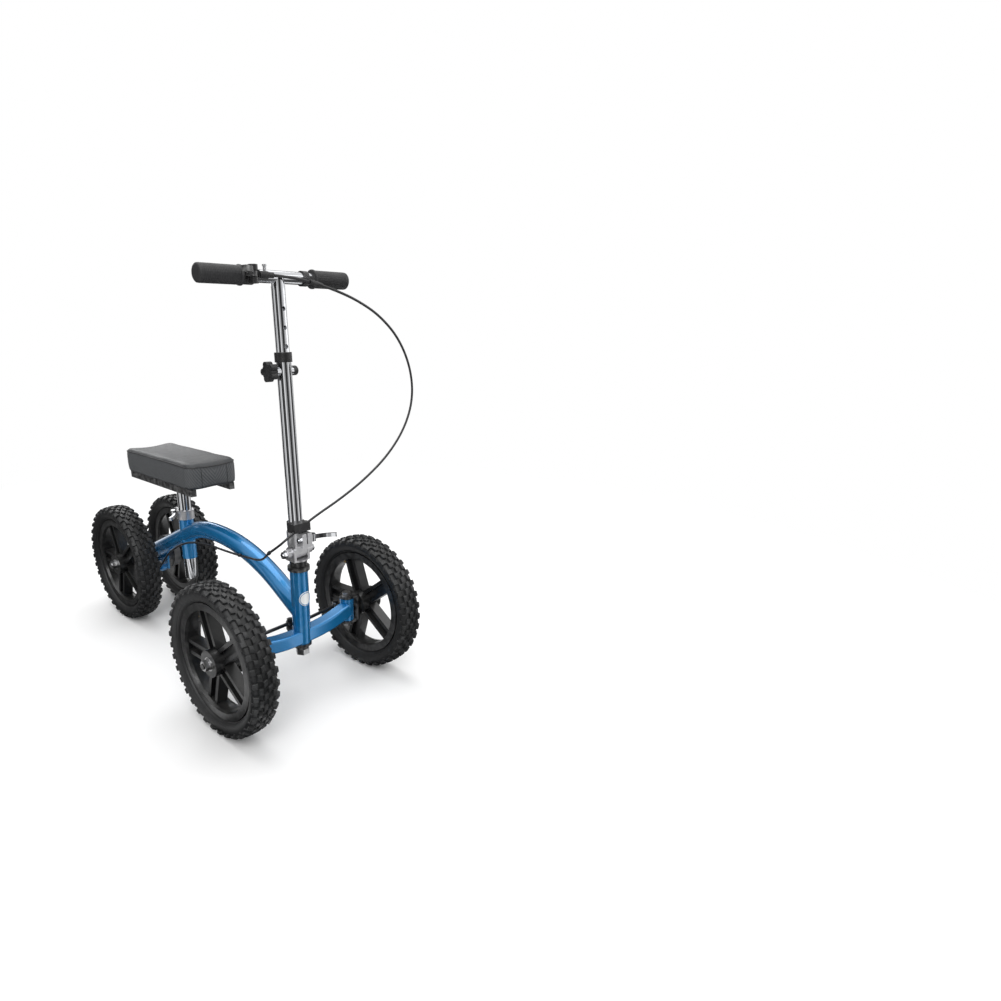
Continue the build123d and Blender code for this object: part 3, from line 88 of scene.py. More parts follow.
# ------------------------------------------------------------------ shader graphs
class Graph:
    """A node tree under construction."""

    def __init__(self, tree: bpy.types.NodeTree) -> None:
        """Wrap a tree, empty at first.

        Args:
            tree: the material's or group's node tree.
        """
        self.tree = tree
        tree.nodes.clear()

    def node(self, kind: str, inputs: dict | None = None, **settings: object) -> bpy.types.Node:
        """Add a node.

        Args:
            kind: Blender's node type.
            inputs: socket name or number to a value, or to a socket to link from.
            settings: the node's own properties.

        Returns:
            The new node.
        """
        made = self.tree.nodes.new(kind)
        for name, value in settings.items():
            setattr(made, name, value)
        for name, value in (inputs or {}).items():
            if isinstance(value, bpy.types.NodeSocket):
                self.tree.links.new(value, made.inputs[name])
            else:
                made.inputs[name].default_value = value
        return made

    def math(
        self, operation: str, first: object, second: object = 0.0, third: object = 0.0
    ) -> bpy.types.NodeSocket:
        """Add a math node and return its output."""
        made = self.node("ShaderNodeMath", {0: first, 1: second, 2: third}, operation=operation)
        return made.outputs[0]

    def span(
        self, value: object, low: float, high: float, out_low: float = 0.0, out_high: float = 1.0
    ) -> bpy.types.NodeSocket:
        """Map a value's range to another, clamped, and return the output."""
        made = self.node(
            "ShaderNodeMapRange", {"Value": value, 1: low, 2: high, 3: out_low, 4: out_high}, clamp=True
        )
        return made.outputs[0]

    def mix(self, share: object, first: object, second: object) -> bpy.types.NodeSocket:
        """Mix two colours by a share and return the result."""
        made = self.node("ShaderNodeMix", data_type="RGBA", clamp_factor=True)
        for socket, value in ((made.inputs[0], share), (made.inputs[6], first), (made.inputs[7], second)):
            if isinstance(value, bpy.types.NodeSocket):
                self.tree.links.new(value, socket)
            else:
                socket.default_value = (*value, 1.0) if isinstance(value, tuple) else value
        return made.outputs[2]

    def place(self) -> bpy.types.NodeSocket:
        """Return the object's own coordinates."""
        return self.node("ShaderNodeTexCoord").outputs["Object"]

    def noise(self, scale: object, detail: float = 4.0, where: object = None) -> bpy.types.NodeSocket:
        """Add noise over the object's coordinates and return its value."""
        inputs = {"Vector": where or self.place(), "Scale": scale, "Detail": detail}
        return self.node("ShaderNodeTexNoise", inputs).outputs[0]


class EffectLibrary:
    """Builds each shared effect once, as a node group with named sockets."""

    def __init__(self) -> None:
        """Start with no group built."""
        self.built: dict[Effect, bpy.types.NodeTree] = {}

    def get(self, effect: Effect) -> bpy.types.NodeTree:
        """Return an effect's group, built at its first use.

        Args:
            effect: which effect.

        Returns:
            The node group.
        """
        if effect not in self.built:
            makers: dict[Effect, Callable[[], bpy.types.NodeTree]] = {
                Effect.EDGE_WEAR: self._edge_wear,
                Effect.GRAIN: self._grain,
                Effect.DUST: self._dust,
                Effect.SMUDGE: self._smudge,
                Effect.TWILL: self._twill,
            }
            self.built[effect] = makers[effect]()
        return self.built[effect]

    @staticmethod
    def _group(
        name: str, inputs: dict[str, float], outputs: Sequence[str]
    ) -> tuple[Graph, bpy.types.Node, bpy.types.Node]:
        """Start a group.

        Args:
            name: the group's name.
            inputs: number inputs and their defaults.
            outputs: names of the number outputs.

        Returns:
            The graph, its input node and its output node.
        """
        tree = bpy.data.node_groups.new(name, "ShaderNodeTree")
        for label, default in inputs.items():
            socket = tree.interface.new_socket(name=label, in_out="INPUT", socket_type="NodeSocketFloat")
            socket.default_value = default
        for label in outputs:
            tree.interface.new_socket(name=label, in_out="OUTPUT", socket_type="NodeSocketFloat")
        graph = Graph(tree)
        return graph, graph.node("NodeGroupInput"), graph.node("NodeGroupOutput")

    def _edge_wear(self) -> bpy.types.NodeTree:
        """Return a mask that is high on sharp edges, broken up by noise."""
        graph, given, out = self._group("edge wear", {"Amount": 0.3, "Scale": 90.0}, ["Mask"])
        bend = graph.node("ShaderNodeNewGeometry").outputs["Pointiness"]
        edge = graph.span(bend, 0.515, 0.60)
        broken = graph.span(graph.noise(given.outputs["Scale"], 5.0), 0.42, 0.62)
        mask = graph.math("MULTIPLY", graph.math("MULTIPLY", edge, broken), given.outputs["Amount"])
        graph.tree.links.new(mask, out.inputs["Mask"])
        return graph.tree

    def _grain(self) -> bpy.types.NodeTree:
        """Return a pebbled height and a slow tone variation."""
        graph, given, out = self._group("fine grain", {"Scale": 900.0, "Pebble": 0.5}, ["Height", "Tone"])
        where = graph.place()
        pebble = graph.node(
            "ShaderNodeTexVoronoi", {"Vector": where, "Scale": given.outputs["Scale"]}
        ).outputs[0]
        fine = graph.noise(graph.math("MULTIPLY", given.outputs["Scale"], 0.6), 6.0, where)
        rough = graph.math("SUBTRACT", 1.0, given.outputs["Pebble"])
        height = graph.math(
            "ADD", graph.math("MULTIPLY", pebble, given.outputs["Pebble"]),
            graph.math("MULTIPLY", fine, rough)
        )
        graph.tree.links.new(height, out.inputs["Height"])
        graph.tree.links.new(graph.span(graph.noise(14.0, 3.0, where), 0.3, 0.7), out.inputs["Tone"])
        return graph.tree

    def _dust(self) -> bpy.types.NodeTree:
        """Return a mask of dust on faces that look up, thin and uneven."""
        graph, given, out = self._group("settled dust", {"Amount": 0.2, "Scale": 30.0}, ["Mask"])
        up = graph.node(
            "ShaderNodeSeparateXYZ", {0: graph.node("ShaderNodeNewGeometry").outputs["Normal"]}
        ).outputs[2]
        facing = graph.span(up, 0.1, 1.0)
        uneven = graph.span(graph.noise(given.outputs["Scale"], 6.0), 0.35, 0.75)
        mask = graph.math("MULTIPLY", graph.math("MULTIPLY", facing, uneven), given.outputs["Amount"])
        graph.tree.links.new(mask, out.inputs["Mask"])
        return graph.tree

    def _smudge(self) -> bpy.types.NodeTree:
        """Return patches left by hands and wiping."""
        graph, given, out = self._group("handling smudges", {"Scale": 12.0}, ["Mask"])
        patch = graph.span(graph.noise(given.outputs["Scale"], 4.0), 0.4, 0.7)
        streak = graph.span(
            graph.noise(graph.math("MULTIPLY", given.outputs["Scale"], 7.0), 5.0), 0.45, 0.7
        )
        graph.tree.links.new(graph.math("MULTIPLY", patch, streak), out.inputs["Mask"])
        return graph.tree

    def _twill(self) -> bpy.types.NodeTree:
        """Return the height of a diagonal twill pressed into upright faces."""
        graph, given, out = self._group("diagonal twill", {"Pitch": 0.006}, ["Height"])
        part = graph.node("ShaderNodeSeparateXYZ", {0: graph.place()})
        along = graph.math("ADD", graph.math("ABSOLUTE", part.outputs[0]), part.outputs[1])
        slant = graph.math(
            "DIVIDE", graph.math("SUBTRACT", along, graph.math("MULTIPLY", part.outputs[2], 0.8)),
            given.outputs["Pitch"]
        )
        rib = graph.math("ABSOLUTE", graph.math("SINE", graph.math("MULTIPLY", slant, pi)))
        cross = graph.math(
            "DIVIDE", graph.math("ADD", along, part.outputs[2]),
            graph.math("MULTIPLY", given.outputs["Pitch"], 0.5)
        )
        step = graph.math("ABSOLUTE", graph.math("SINE", graph.math("MULTIPLY", cross, pi)))
        height = graph.math("ADD", graph.math("POWER", rib, 0.6), graph.math("MULTIPLY", step, 0.25))
        normal = graph.node("ShaderNodeNewGeometry").outputs["Normal"]
        up = graph.math("ABSOLUTE", graph.node("ShaderNodeSeparateXYZ", {0: normal}).outputs[2])
        side = graph.span(up, 0.35, 0.12)
        graph.tree.links.new(graph.math("MULTIPLY", height, side), out.inputs["Height"])
        return graph.tree


EFFECTS = EffectLibrary()


# ------------------------------------------------------------------ finishes
@dataclass(frozen=True)
class Finish:
    """A finish made of a base, slow tone changes, grain, wear at the edges and dust."""

    name: str
    base: Colour
    tone: Colour
    roughness: float = 0.5
    metallic: float = 0.0
    coat: float = 0.0
    grain_scale: float = 900.0
    grain_depth: float = 0.1
    pebble: float = 0.4
    wear: float = 0.3
    wear_colour: Colour = (0.5, 0.5, 0.5)
    dust: float = 0.08
    smudge: float = 0.1

    def effect(self, graph: Graph, effect: Effect, **values: float) -> bpy.types.Node:
        """Place a shared effect in this finish with its own values."""
        return graph.node("ShaderNodeGroup", dict(values), node_tree=EFFECTS.get(effect))

    def colour(self, graph: Graph, tone: bpy.types.NodeSocket) -> bpy.types.NodeSocket:
        """Return the colour before wear and dust."""
        return graph.mix(tone, self.base, self.tone)

    def height(self, graph: Graph, grain: bpy.types.NodeSocket) -> bpy.types.NodeSocket:
        """Return the relief's height."""
        return grain

    def build(self) -> bpy.types.Material:
        """Build the material.

        Returns:
            The finished material.
        """
        material = bpy.data.materials.new(self.name)
        material.use_nodes = True
        graph = Graph(material.node_tree)
        grain = self.effect(graph, Effect.GRAIN, Scale=self.grain_scale, Pebble=self.pebble)
        wear = self.effect(graph, Effect.EDGE_WEAR, Amount=self.wear).outputs[0]
        dust = self.effect(graph, Effect.DUST, Amount=self.dust).outputs[0]
        smudge = self.effect(graph, Effect.SMUDGE).outputs[0]
        colour = self.colour(graph, grain.outputs["Tone"])
        colour = graph.mix(wear, colour, self.wear_colour)
        colour = graph.mix(dust, colour, (0.45, 0.43, 0.4))
        rough = graph.math("MULTIPLY_ADD", smudge, self.smudge, self.roughness)
        rough = graph.math("MULTIPLY_ADD", dust, 0.4, rough)
        relief = self.height(graph, grain.outputs["Height"])
        bump = graph.node(
            "ShaderNodeBump", {"Height": relief, "Strength": self.grain_depth, "Distance": 0.0006}
        )
        shader = graph.node(
            "ShaderNodeBsdfPrincipled",
            {
                "Base Color": colour, "Roughness": rough, "Normal": bump.outputs[0],
                "Metallic": self.metallic, "Coat Weight": self.coat, "Coat Roughness": 0.06,
            },
        )
        graph.node("ShaderNodeOutputMaterial", {"Surface": shader.outputs[0]})
        return material


@dataclass(frozen=True)
class FlakePaint(Finish):
    """A clear-coated paint with metal flake, its flakes given a painted glint."""

    flake_scale: float = 2600.0

    def colour(self, graph: Graph, tone: bpy.types.NodeSocket) -> bpy.types.NodeSocket:
        """Return the paint's colour, with a painted glint of paler blue on random flakes."""
        cell = graph.node("ShaderNodeTexVoronoi", {"Vector": graph.place(), "Scale": self.flake_scale})
        # painted glint: random flakes mixed towards a pale highlight blue
        painted_glint = graph.span(
            graph.node("ShaderNodeSeparateXYZ", {0: cell.outputs["Color"]}).outputs[0], 0.6, 1.0, 0.0, 0.14
        )
        ground = graph.mix(tone, self.base, self.tone)
        return graph.mix(painted_glint, ground, (0.12, 0.52, 0.88))


@dataclass(frozen=True)
class TwillVinyl(Finish):
    """Grained vinyl with a diagonal twill pressed into its sides, the raised ribs painted paler as a
    highlight.
    """

    twill: float = 4.0

    def colour(self, graph: Graph, tone: bpy.types.NodeSocket) -> bpy.types.NodeSocket:
        """Return the vinyl's colour, with a painted highlight that makes the raised twill paler."""
        pressed = self.effect(graph, Effect.TWILL, Pitch=0.0075).outputs[0]
        ground = graph.mix(tone, self.base, self.tone)
        # painted highlight: raised twill ribs mixed towards a paler grey
        return graph.mix(graph.math("MULTIPLY", pressed, 0.5), ground, (0.13, 0.135, 0.14))

    def height(self, graph: Graph, grain: bpy.types.NodeSocket) -> bpy.types.NodeSocket:
        """Return the grain with the twill added on upright faces."""
        pressed = self.effect(graph, Effect.TWILL, Pitch=0.0075).outputs[0]
        return graph.math("MULTIPLY_ADD", pressed, self.twill, grain)


BLUE = FlakePaint(
    "frame_blue_paint", base=(0.002, 0.17, 0.43), tone=(0.003, 0.19, 0.47), roughness=0.22, metallic=0.5,
    coat=1.0, grain_scale=500.0, grain_depth=0.015, pebble=0.1, wear=0.12, wear_colour=(0.2, 0.42, 0.6),
    dust=0.015, smudge=0.05
)
CHROME = Finish(
    "polished_chrome", base=(0.72, 0.73, 0.75), tone=(0.66, 0.67, 0.69), roughness=0.05, metallic=1.0,
    coat=0.0, grain_scale=300.0, grain_depth=0.015, pebble=0.1, wear=0.05, wear_colour=(0.5, 0.5, 0.5),
    dust=0.02, smudge=0.12
)
ZINC = Finish(
    "zinc_plate", base=(0.6, 0.6, 0.6), tone=(0.5, 0.51, 0.53), roughness=0.28, metallic=1.0, coat=0.0,
    grain_scale=700.0, grain_depth=0.12, pebble=0.3, wear=0.3, wear_colour=(0.3, 0.28, 0.26), dust=0.05,
    smudge=0.2
)
CAST = Finish(
    "cast_aluminium", base=(0.66, 0.66, 0.67), tone=(0.55, 0.55, 0.57), roughness=0.36, metallic=0.95,
    coat=0.0, grain_scale=800.0, grain_depth=0.25, pebble=0.7, wear=0.3, wear_colour=(0.8, 0.8, 0.8),
    dust=0.05, smudge=0.15
)
BLACK_STEEL = Finish(
    "black_powder_coat", base=(0.006, 0.006, 0.0065), tone=(0.011, 0.011, 0.012), roughness=0.3,
    metallic=0.0, coat=0.3, grain_scale=1100.0, grain_depth=0.2, pebble=0.6, wear=0.35,
    wear_colour=(0.28, 0.28, 0.28), dust=0.05, smudge=0.15
)
PLASTIC = Finish(
    "moulded_plastic", base=(0.006, 0.006, 0.0065), tone=(0.011, 0.011, 0.012), roughness=0.38,
    metallic=0.0, coat=0.0, grain_scale=1500.0, grain_depth=0.18, pebble=0.6, wear=0.15,
    wear_colour=(0.08, 0.08, 0.08), dust=0.05, smudge=0.12
)
WHEEL = Finish(
    "wheel_plastic", base=(0.004, 0.0043, 0.0046), tone=(0.007, 0.0074, 0.008), roughness=0.3, metallic=0.0,
    coat=0.15, grain_scale=1300.0, grain_depth=0.16, pebble=0.6, wear=0.25, wear_colour=(0.1, 0.1, 0.1),
    dust=0.06, smudge=0.12
)
RUBBER = Finish(
    "tyre_rubber", base=(0.005, 0.0055, 0.006), tone=(0.011, 0.0115, 0.0125), roughness=0.46, metallic=0.0,
    coat=0.0, grain_scale=700.0, grain_depth=0.4, pebble=0.4, wear=0.3, wear_colour=(0.045, 0.047, 0.05),
    dust=0.04, smudge=0.16
)
GRIP = Finish(
    "grip_rubber", base=(0.012, 0.012, 0.013), tone=(0.024, 0.024, 0.026), roughness=0.55, metallic=0.0,
    coat=0.0, grain_scale=1200.0, grain_depth=0.35, pebble=0.5, wear=0.35, wear_colour=(0.06, 0.06, 0.06),
    dust=0.06, smudge=0.12
)
HOUSING = Finish(
    "cable_housing", base=(0.01, 0.01, 0.011), tone=(0.018, 0.018, 0.02), roughness=0.36, metallic=0.0,
    coat=0.0, grain_scale=1600.0, grain_depth=0.08, pebble=0.4, wear=0.1, wear_colour=(0.05, 0.05, 0.05),
    dust=0.03, smudge=0.1
)
VINYL = TwillVinyl(
    "grained_vinyl", base=(0.016, 0.018, 0.021), tone=(0.024, 0.027, 0.031), roughness=0.44, metallic=0.0,
    coat=0.0, grain_scale=1900.0, grain_depth=0.32, pebble=0.8, wear=0.12, wear_colour=(0.1, 0.1, 0.1),
    dust=0.05, smudge=0.12
)
WELT = Finish(
    "welt_cord", base=(0.012, 0.012, 0.013), tone=(0.02, 0.02, 0.022), roughness=0.45, metallic=0.0,
    coat=0.0, grain_scale=1900.0, grain_depth=0.3, pebble=0.7, wear=0.1, wear_colour=(0.06, 0.06, 0.06),
    dust=0.04, smudge=0.1
)
BRASS = Finish(
    "brass_valve", base=(0.62, 0.42, 0.14), tone=(0.5, 0.33, 0.1), roughness=0.25, metallic=1.0, coat=0.0,
    grain_scale=900.0, grain_depth=0.1, pebble=0.4, wear=0.3, wear_colour=(0.3, 0.2, 0.1), dust=0.04,
    smudge=0.2
)
BADGE = Finish(
    "badge_enamel", base=(0.8, 0.81, 0.8), tone=(0.72, 0.74, 0.74), roughness=0.25, metallic=0.0, coat=0.6,
    grain_scale=900.0, grain_depth=0.05, pebble=0.3, wear=0.1, wear_colour=(0.4, 0.4, 0.4), dust=0.04,
    smudge=0.08
)

NODE_FINISHES: dict[Finish, tuple[str, ...]] = {
    BLUE: ("main_tube", "head_tube", "front_beam", "seat_tube", "rear_bracket"),
    CHROME: ("column_tube", "handlebar", "seat_post", "fold_bolts", "fold_lever", "seat_lever"),
    CAST: ("seat_clamp", "brake_cam", "fold_base", "fold_head", "brake_drum_left", "brake_drum_right"),
    ZINC: (
        "lock_button", "kingpins", "steerer_nut", "axle_nut_left", "axle_nut_right", "rear_axle",
        "rear_axle_nuts", "brake_barrel", "brake_shoes", "bearings_front_left", "bearings_front_right",
        "bearings_rear_left", "bearings_rear_right"
    ),
    BLACK_STEEL: (
        "headset_cups", "steerer", "knuckle_left", "knuckle_right", "pitman_arm", "tie_rod_left",
        "tie_rod_right", "pad_base", "brake_plates", "brake_lever"
    ),
    PLASTIC: ("height_knob", "height_nut", "cable_clip", "brake_perch", "cable_guide", "column_collar"),
    WHEEL: ("wheel_front_left", "wheel_front_right", "wheel_rear_left", "wheel_rear_right")
}


class Paintshop:
    """Keeps one material for each finish."""

    def __init__(self) -> None:
        """Start with no material."""
        self.made: dict[str, bpy.types.Material] = {}

    def material(self, finish: Finish) -> bpy.types.Material:
        """Return a finish's material, built at its first use."""
        if finish.name not in self.made:
            self.made[finish.name] = finish.build()
        return self.made[finish.name]

    def coat(self, piece: bpy.types.Object, finish: Finish) -> None:
        """Give a piece one finish all over."""
        material = self.material(finish)
        if not piece.material_slots:
            piece.data.materials.append(material)
        for place in piece.material_slots:
            place.material = material

    def coat_nodes(self) -> None:
        """Finish every CAD node that stays in view."""
        for finish, names in NODE_FINISHES.items():
            for name in names:
                self.coat(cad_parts[name], finish)
                LOG.info("coated %s with %s", name, finish.name)


SHOP = Paintshop()


# ------------------------------------------------------------------ mesh helpers
def new_piece(name: str, mesh: bmesh.types.BMesh, finish: Finish, smooth: bool = True) -> bpy.types.Object:
    """Turn a bmesh into a linked, finished object.

    Args:
        name: the piece's name.
        mesh: the mesh, freed here.
        finish: what it is finished with.
        smooth: whether its faces shade smoothly.

    Returns:
        The new object.
    """
    bmesh.ops.recalc_face_normals(mesh, faces=mesh.faces)
    for face in mesh.faces:
        face.smooth = smooth
    data = bpy.data.meshes.new(name)
    mesh.to_mesh(data)
    mesh.free()
    piece = bpy.data.objects.new(name, data)
    bpy.context.scene.collection.objects.link(piece)
    SHOP.coat(piece, finish)
    return piece


def bridge_rings(
    mesh: bmesh.types.BMesh, rings: Sequence[Sequence[bmesh.types.BMVert]], closed: bool
) -> None:
    """Join neighbouring rings of points with faces.

    Args:
        mesh: the mesh that holds them.
        rings: rings of the same number of points.
        closed: whether the last ring joins the first.
    """
    pairs = list(zip(rings, rings[1:]))
    if closed:
        pairs.append((rings[-1], rings[0]))
    for one, two in pairs:
        count = len(one)
        for index in range(count):
            after = (index + 1) % count
            mesh.faces.new((one[index], one[after], two[after], two[index]))


def sweep_tube(path: Sequence[Vector], radius: float, sides: int = 12) -> bmesh.types.BMesh:
    """Make a capped round tube along a path, without twist.

    Args:
        path: points it follows.
        radius: its radius.
        sides: how many points round it.

    Returns:
        The tube's mesh.
    """
    mesh = bmesh.new()
    rings = []
    side = None
    for index, point in enumerate(path):
        before = path[max(index - 1, 0)]
        after = path[min(index + 1, len(path) - 1)]
        ahead = (after - before).normalized()
        if side is None:
            side = ahead.orthogonal().normalized()
        side = (side - ahead * side.dot(ahead)).normalized()
        across = ahead.cross(side)
        turn = [2 * pi * step / sides for step in range(sides)]
        rings.append([mesh.verts.new(point + (side * cos(a) + across * sin(a)) * radius) for a in turn])
    bridge_rings(mesh, rings, closed=False)
    mesh.faces.new(rings[0])
    mesh.faces.new(rings[-1])
    return mesh


def spun(
    profile: Sequence[tuple[float, float]], centre: Vector, segments: int, closed: bool
) -> bmesh.types.BMesh:
    """Spin a profile about an axis along X.

    Args:
        profile: points as (x, radius).
        centre: where the axis passes.
        segments: how many steps round.
        closed: whether the profile is a loop.

    Returns:
        The turned mesh.
    """
    mesh = bmesh.new()
    rings = []
    for x, radius in profile:
        turn = [2 * pi * step / segments for step in range(segments)]
        rings.append([mesh.verts.new(centre + Vector((x, radius * cos(a), radius * sin(a)))) for a in turn])
    bridge_rings(mesh, rings, closed)
    if not closed:
        mesh.faces.new(rings[0])
        mesh.faces.new(rings[-1])
    return mesh


def box_centre(name: str) -> Vector:
    """Return the middle of a CAD node's box."""
    low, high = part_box(name)
    return (Vector(low) + Vector(high)) / 2


# ------------------------------------------------------------------ tyres
@dataclass
class KnobRow:
    """One row of tread knobs."""

    along: float
    width: float
    length: float
    height: float
    phase: float
    skew: float = 0.0


@dataclass
class Tyre:
    """A knobbly air tyre with ribbed sidewalls."""

    corner: str
    pitches: int = 36
    segments: int = 144
    crown: tuple[tuple[float, float], ...] = (
        (
            13.0, 112.0
        ), (13.0, 119.6), (15.4, 120.4), (16.6, 121.0), (17.2, 122.6), (19.5, 123.2), (22.4, 126.0),
        (
            22.9, 127.2
        ), (23.6, 127.4), (25.4, 130.6), (27.0, 135.0), (27.5, 139.0), (26.9, 142.6), (25.0, 145.8),
        (21.5, 148.0), (17.0, 149.3), (9.0, 150.4), (0.0, 150.8),
    )
    rows: tuple[KnobRow, ...] = (
        KnobRow(4.6, 8.0, 11.0, 4.3, 0.0, 0.35),
        KnobRow(-4.6, 8.0, 11.0, 4.3, 0.5, 0.35),
        KnobRow(14.0, 8.0, 12.5, 4.4, 0.5, -0.3),
        KnobRow(-14.0, 8.0, 12.5, 4.4, 0.0, -0.3),
        KnobRow(23.2, 9.5, 10.5, 4.6, 0.0, 0.0),
        KnobRow(-23.2, 9.5, 10.5, 4.6, 0.5, 0.0),
        KnobRow(29.6, 5.0, 5.0, 1.2, 0.5, 0.0),
        KnobRow(-29.6, 5.0, 5.0, 1.2, 0.0, 0.0),
    )

    def contour(self, along: float) -> tuple[float, float, float, float]:
        """Return the point and outward normal at a distance along the tread from its middle.

        Args:
            along: distance in millimetres, signed by side.

        Returns:
            x, radius, and the normal's x and radial parts.
        """
        side = 1.0 if along >= 0 else -1.0
        left = abs(along)
        points = list(reversed(self.crown))
        for (x0, r0), (x1, r1) in zip(points, points[1:]):
            step = hypot(x1 - x0, r1 - r0)
            if left <= step:
                share = left / step
                nx, nr = -(r1 - r0) / step, (x1 - x0) / step
                return side * (x0 + (x1 - x0) * share), r0 + (r1 - r0) * share, side * nx, nr
            left -= step
        raise ValueError("the row lies outside the tread")

    def add_knob(self, mesh: bmesh.types.BMesh, centre: Vector, row: KnobRow, angle: float) -> None:
        """Add one tapered knob with a chamfered top."""
        x, radius, nx, nr = self.contour(row.along)
        out = Vector((0, cos(angle), sin(angle)))
        round_way = Vector((0, -sin(angle), cos(angle)))
        normal = Vector((nx, 0, 0)) + out * nr
        lateral = round_way.cross(normal)
        foot = centre + (Vector((x, 0, 0)) + out * radius - normal * 0.8) * MM
        levels = ((0.0, 1.12), (row.height, 1.0), (row.height + 0.8, 0.82))
        rings = []
        for height, share in levels:
            ring = []
            for u, v in ((-1, -1), (1, -1), (1, 1), (-1, 1)):
                shift = u * row.width / 2 * share
                turn = v * row.length / 2 * share + row.skew * shift
                ring.append(
                    mesh.verts.new(foot + (lateral * shift + round_way * turn + normal * height) * MM)
                )
            rings.append(ring)
        bridge_rings(mesh, rings, closed=False)
        mesh.faces.new(rings[0])
        mesh.faces.new(rings[-1])

    def build(self) -> bpy.types.Object:
        """Build the tyre where its CAD node is, and hide that node.

        Returns:
            The tyre.
        """
        centre = box_centre(f"tyre_{self.corner}")
        half = [(x * MM, r * MM) for x, r in self.crown]
        loop = half + [(-x, r) for x, r in reversed(half[:-1])]
        mesh = spun(loop, centre, self.segments, closed=True)
        for row in self.rows:
            for step in range(self.pitches):
                self.add_knob(mesh, centre, row, 2 * pi * (step + row.phase) / self.pitches)
        tyre = new_piece(f"tread_{self.corner}", mesh, RUBBER)
        tyre.data.shade_smooth()
        edge = tyre.modifiers.new("sharp knobs", "EDGE_SPLIT")
        edge.split_angle = radians(38)
        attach(tyre, f"wheel_{self.corner}")
        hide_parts(f"tyre_{self.corner}")
        LOG.info("tyre %s: %d faces", self.corner, len(tyre.data.polygons))
        return tyre


@dataclass
class Valve:
    """A brass valve stem with a black cap, leaning in from the rim."""

    corner: str
    turn: float = radians(52)
    root: float = 104.5
    length: float = 22.0

    def build(self) -> None:
        """Build the stem and its cap and fix them to the wheel."""
        centre = box_centre(f"wheel_{self.corner}")
        out = Vector((0, cos(self.turn), sin(self.turn)))
        lean = (out * -0.94 + Vector((0.34 if centre.x > 0 else -0.34, 0, 0))).normalized()
        foot = centre + out * self.root * MM
        for name, start, end, radius, finish in (
            ("valve_stem", 0.0, self.length, 2.6, BRASS),
            ("valve_collar", 1.0, 4.0, 4.6, BRASS),
            ("valve_cap", self.length - 8, self.length + 2, 3.6, PLASTIC),
        ):
            steps = [foot + lean * (start + (end - start) * t / 4) * MM for t in range(5)]
            piece = new_piece(f"{name}_{self.corner}", sweep_tube(steps, radius * MM, 16), finish)
            bevel = piece.modifiers.new("soft rim", "BEVEL")
            bevel.width = 0.0005
            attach(piece, f"wheel_{self.corner}")
        LOG.info("valve %s", self.corner)


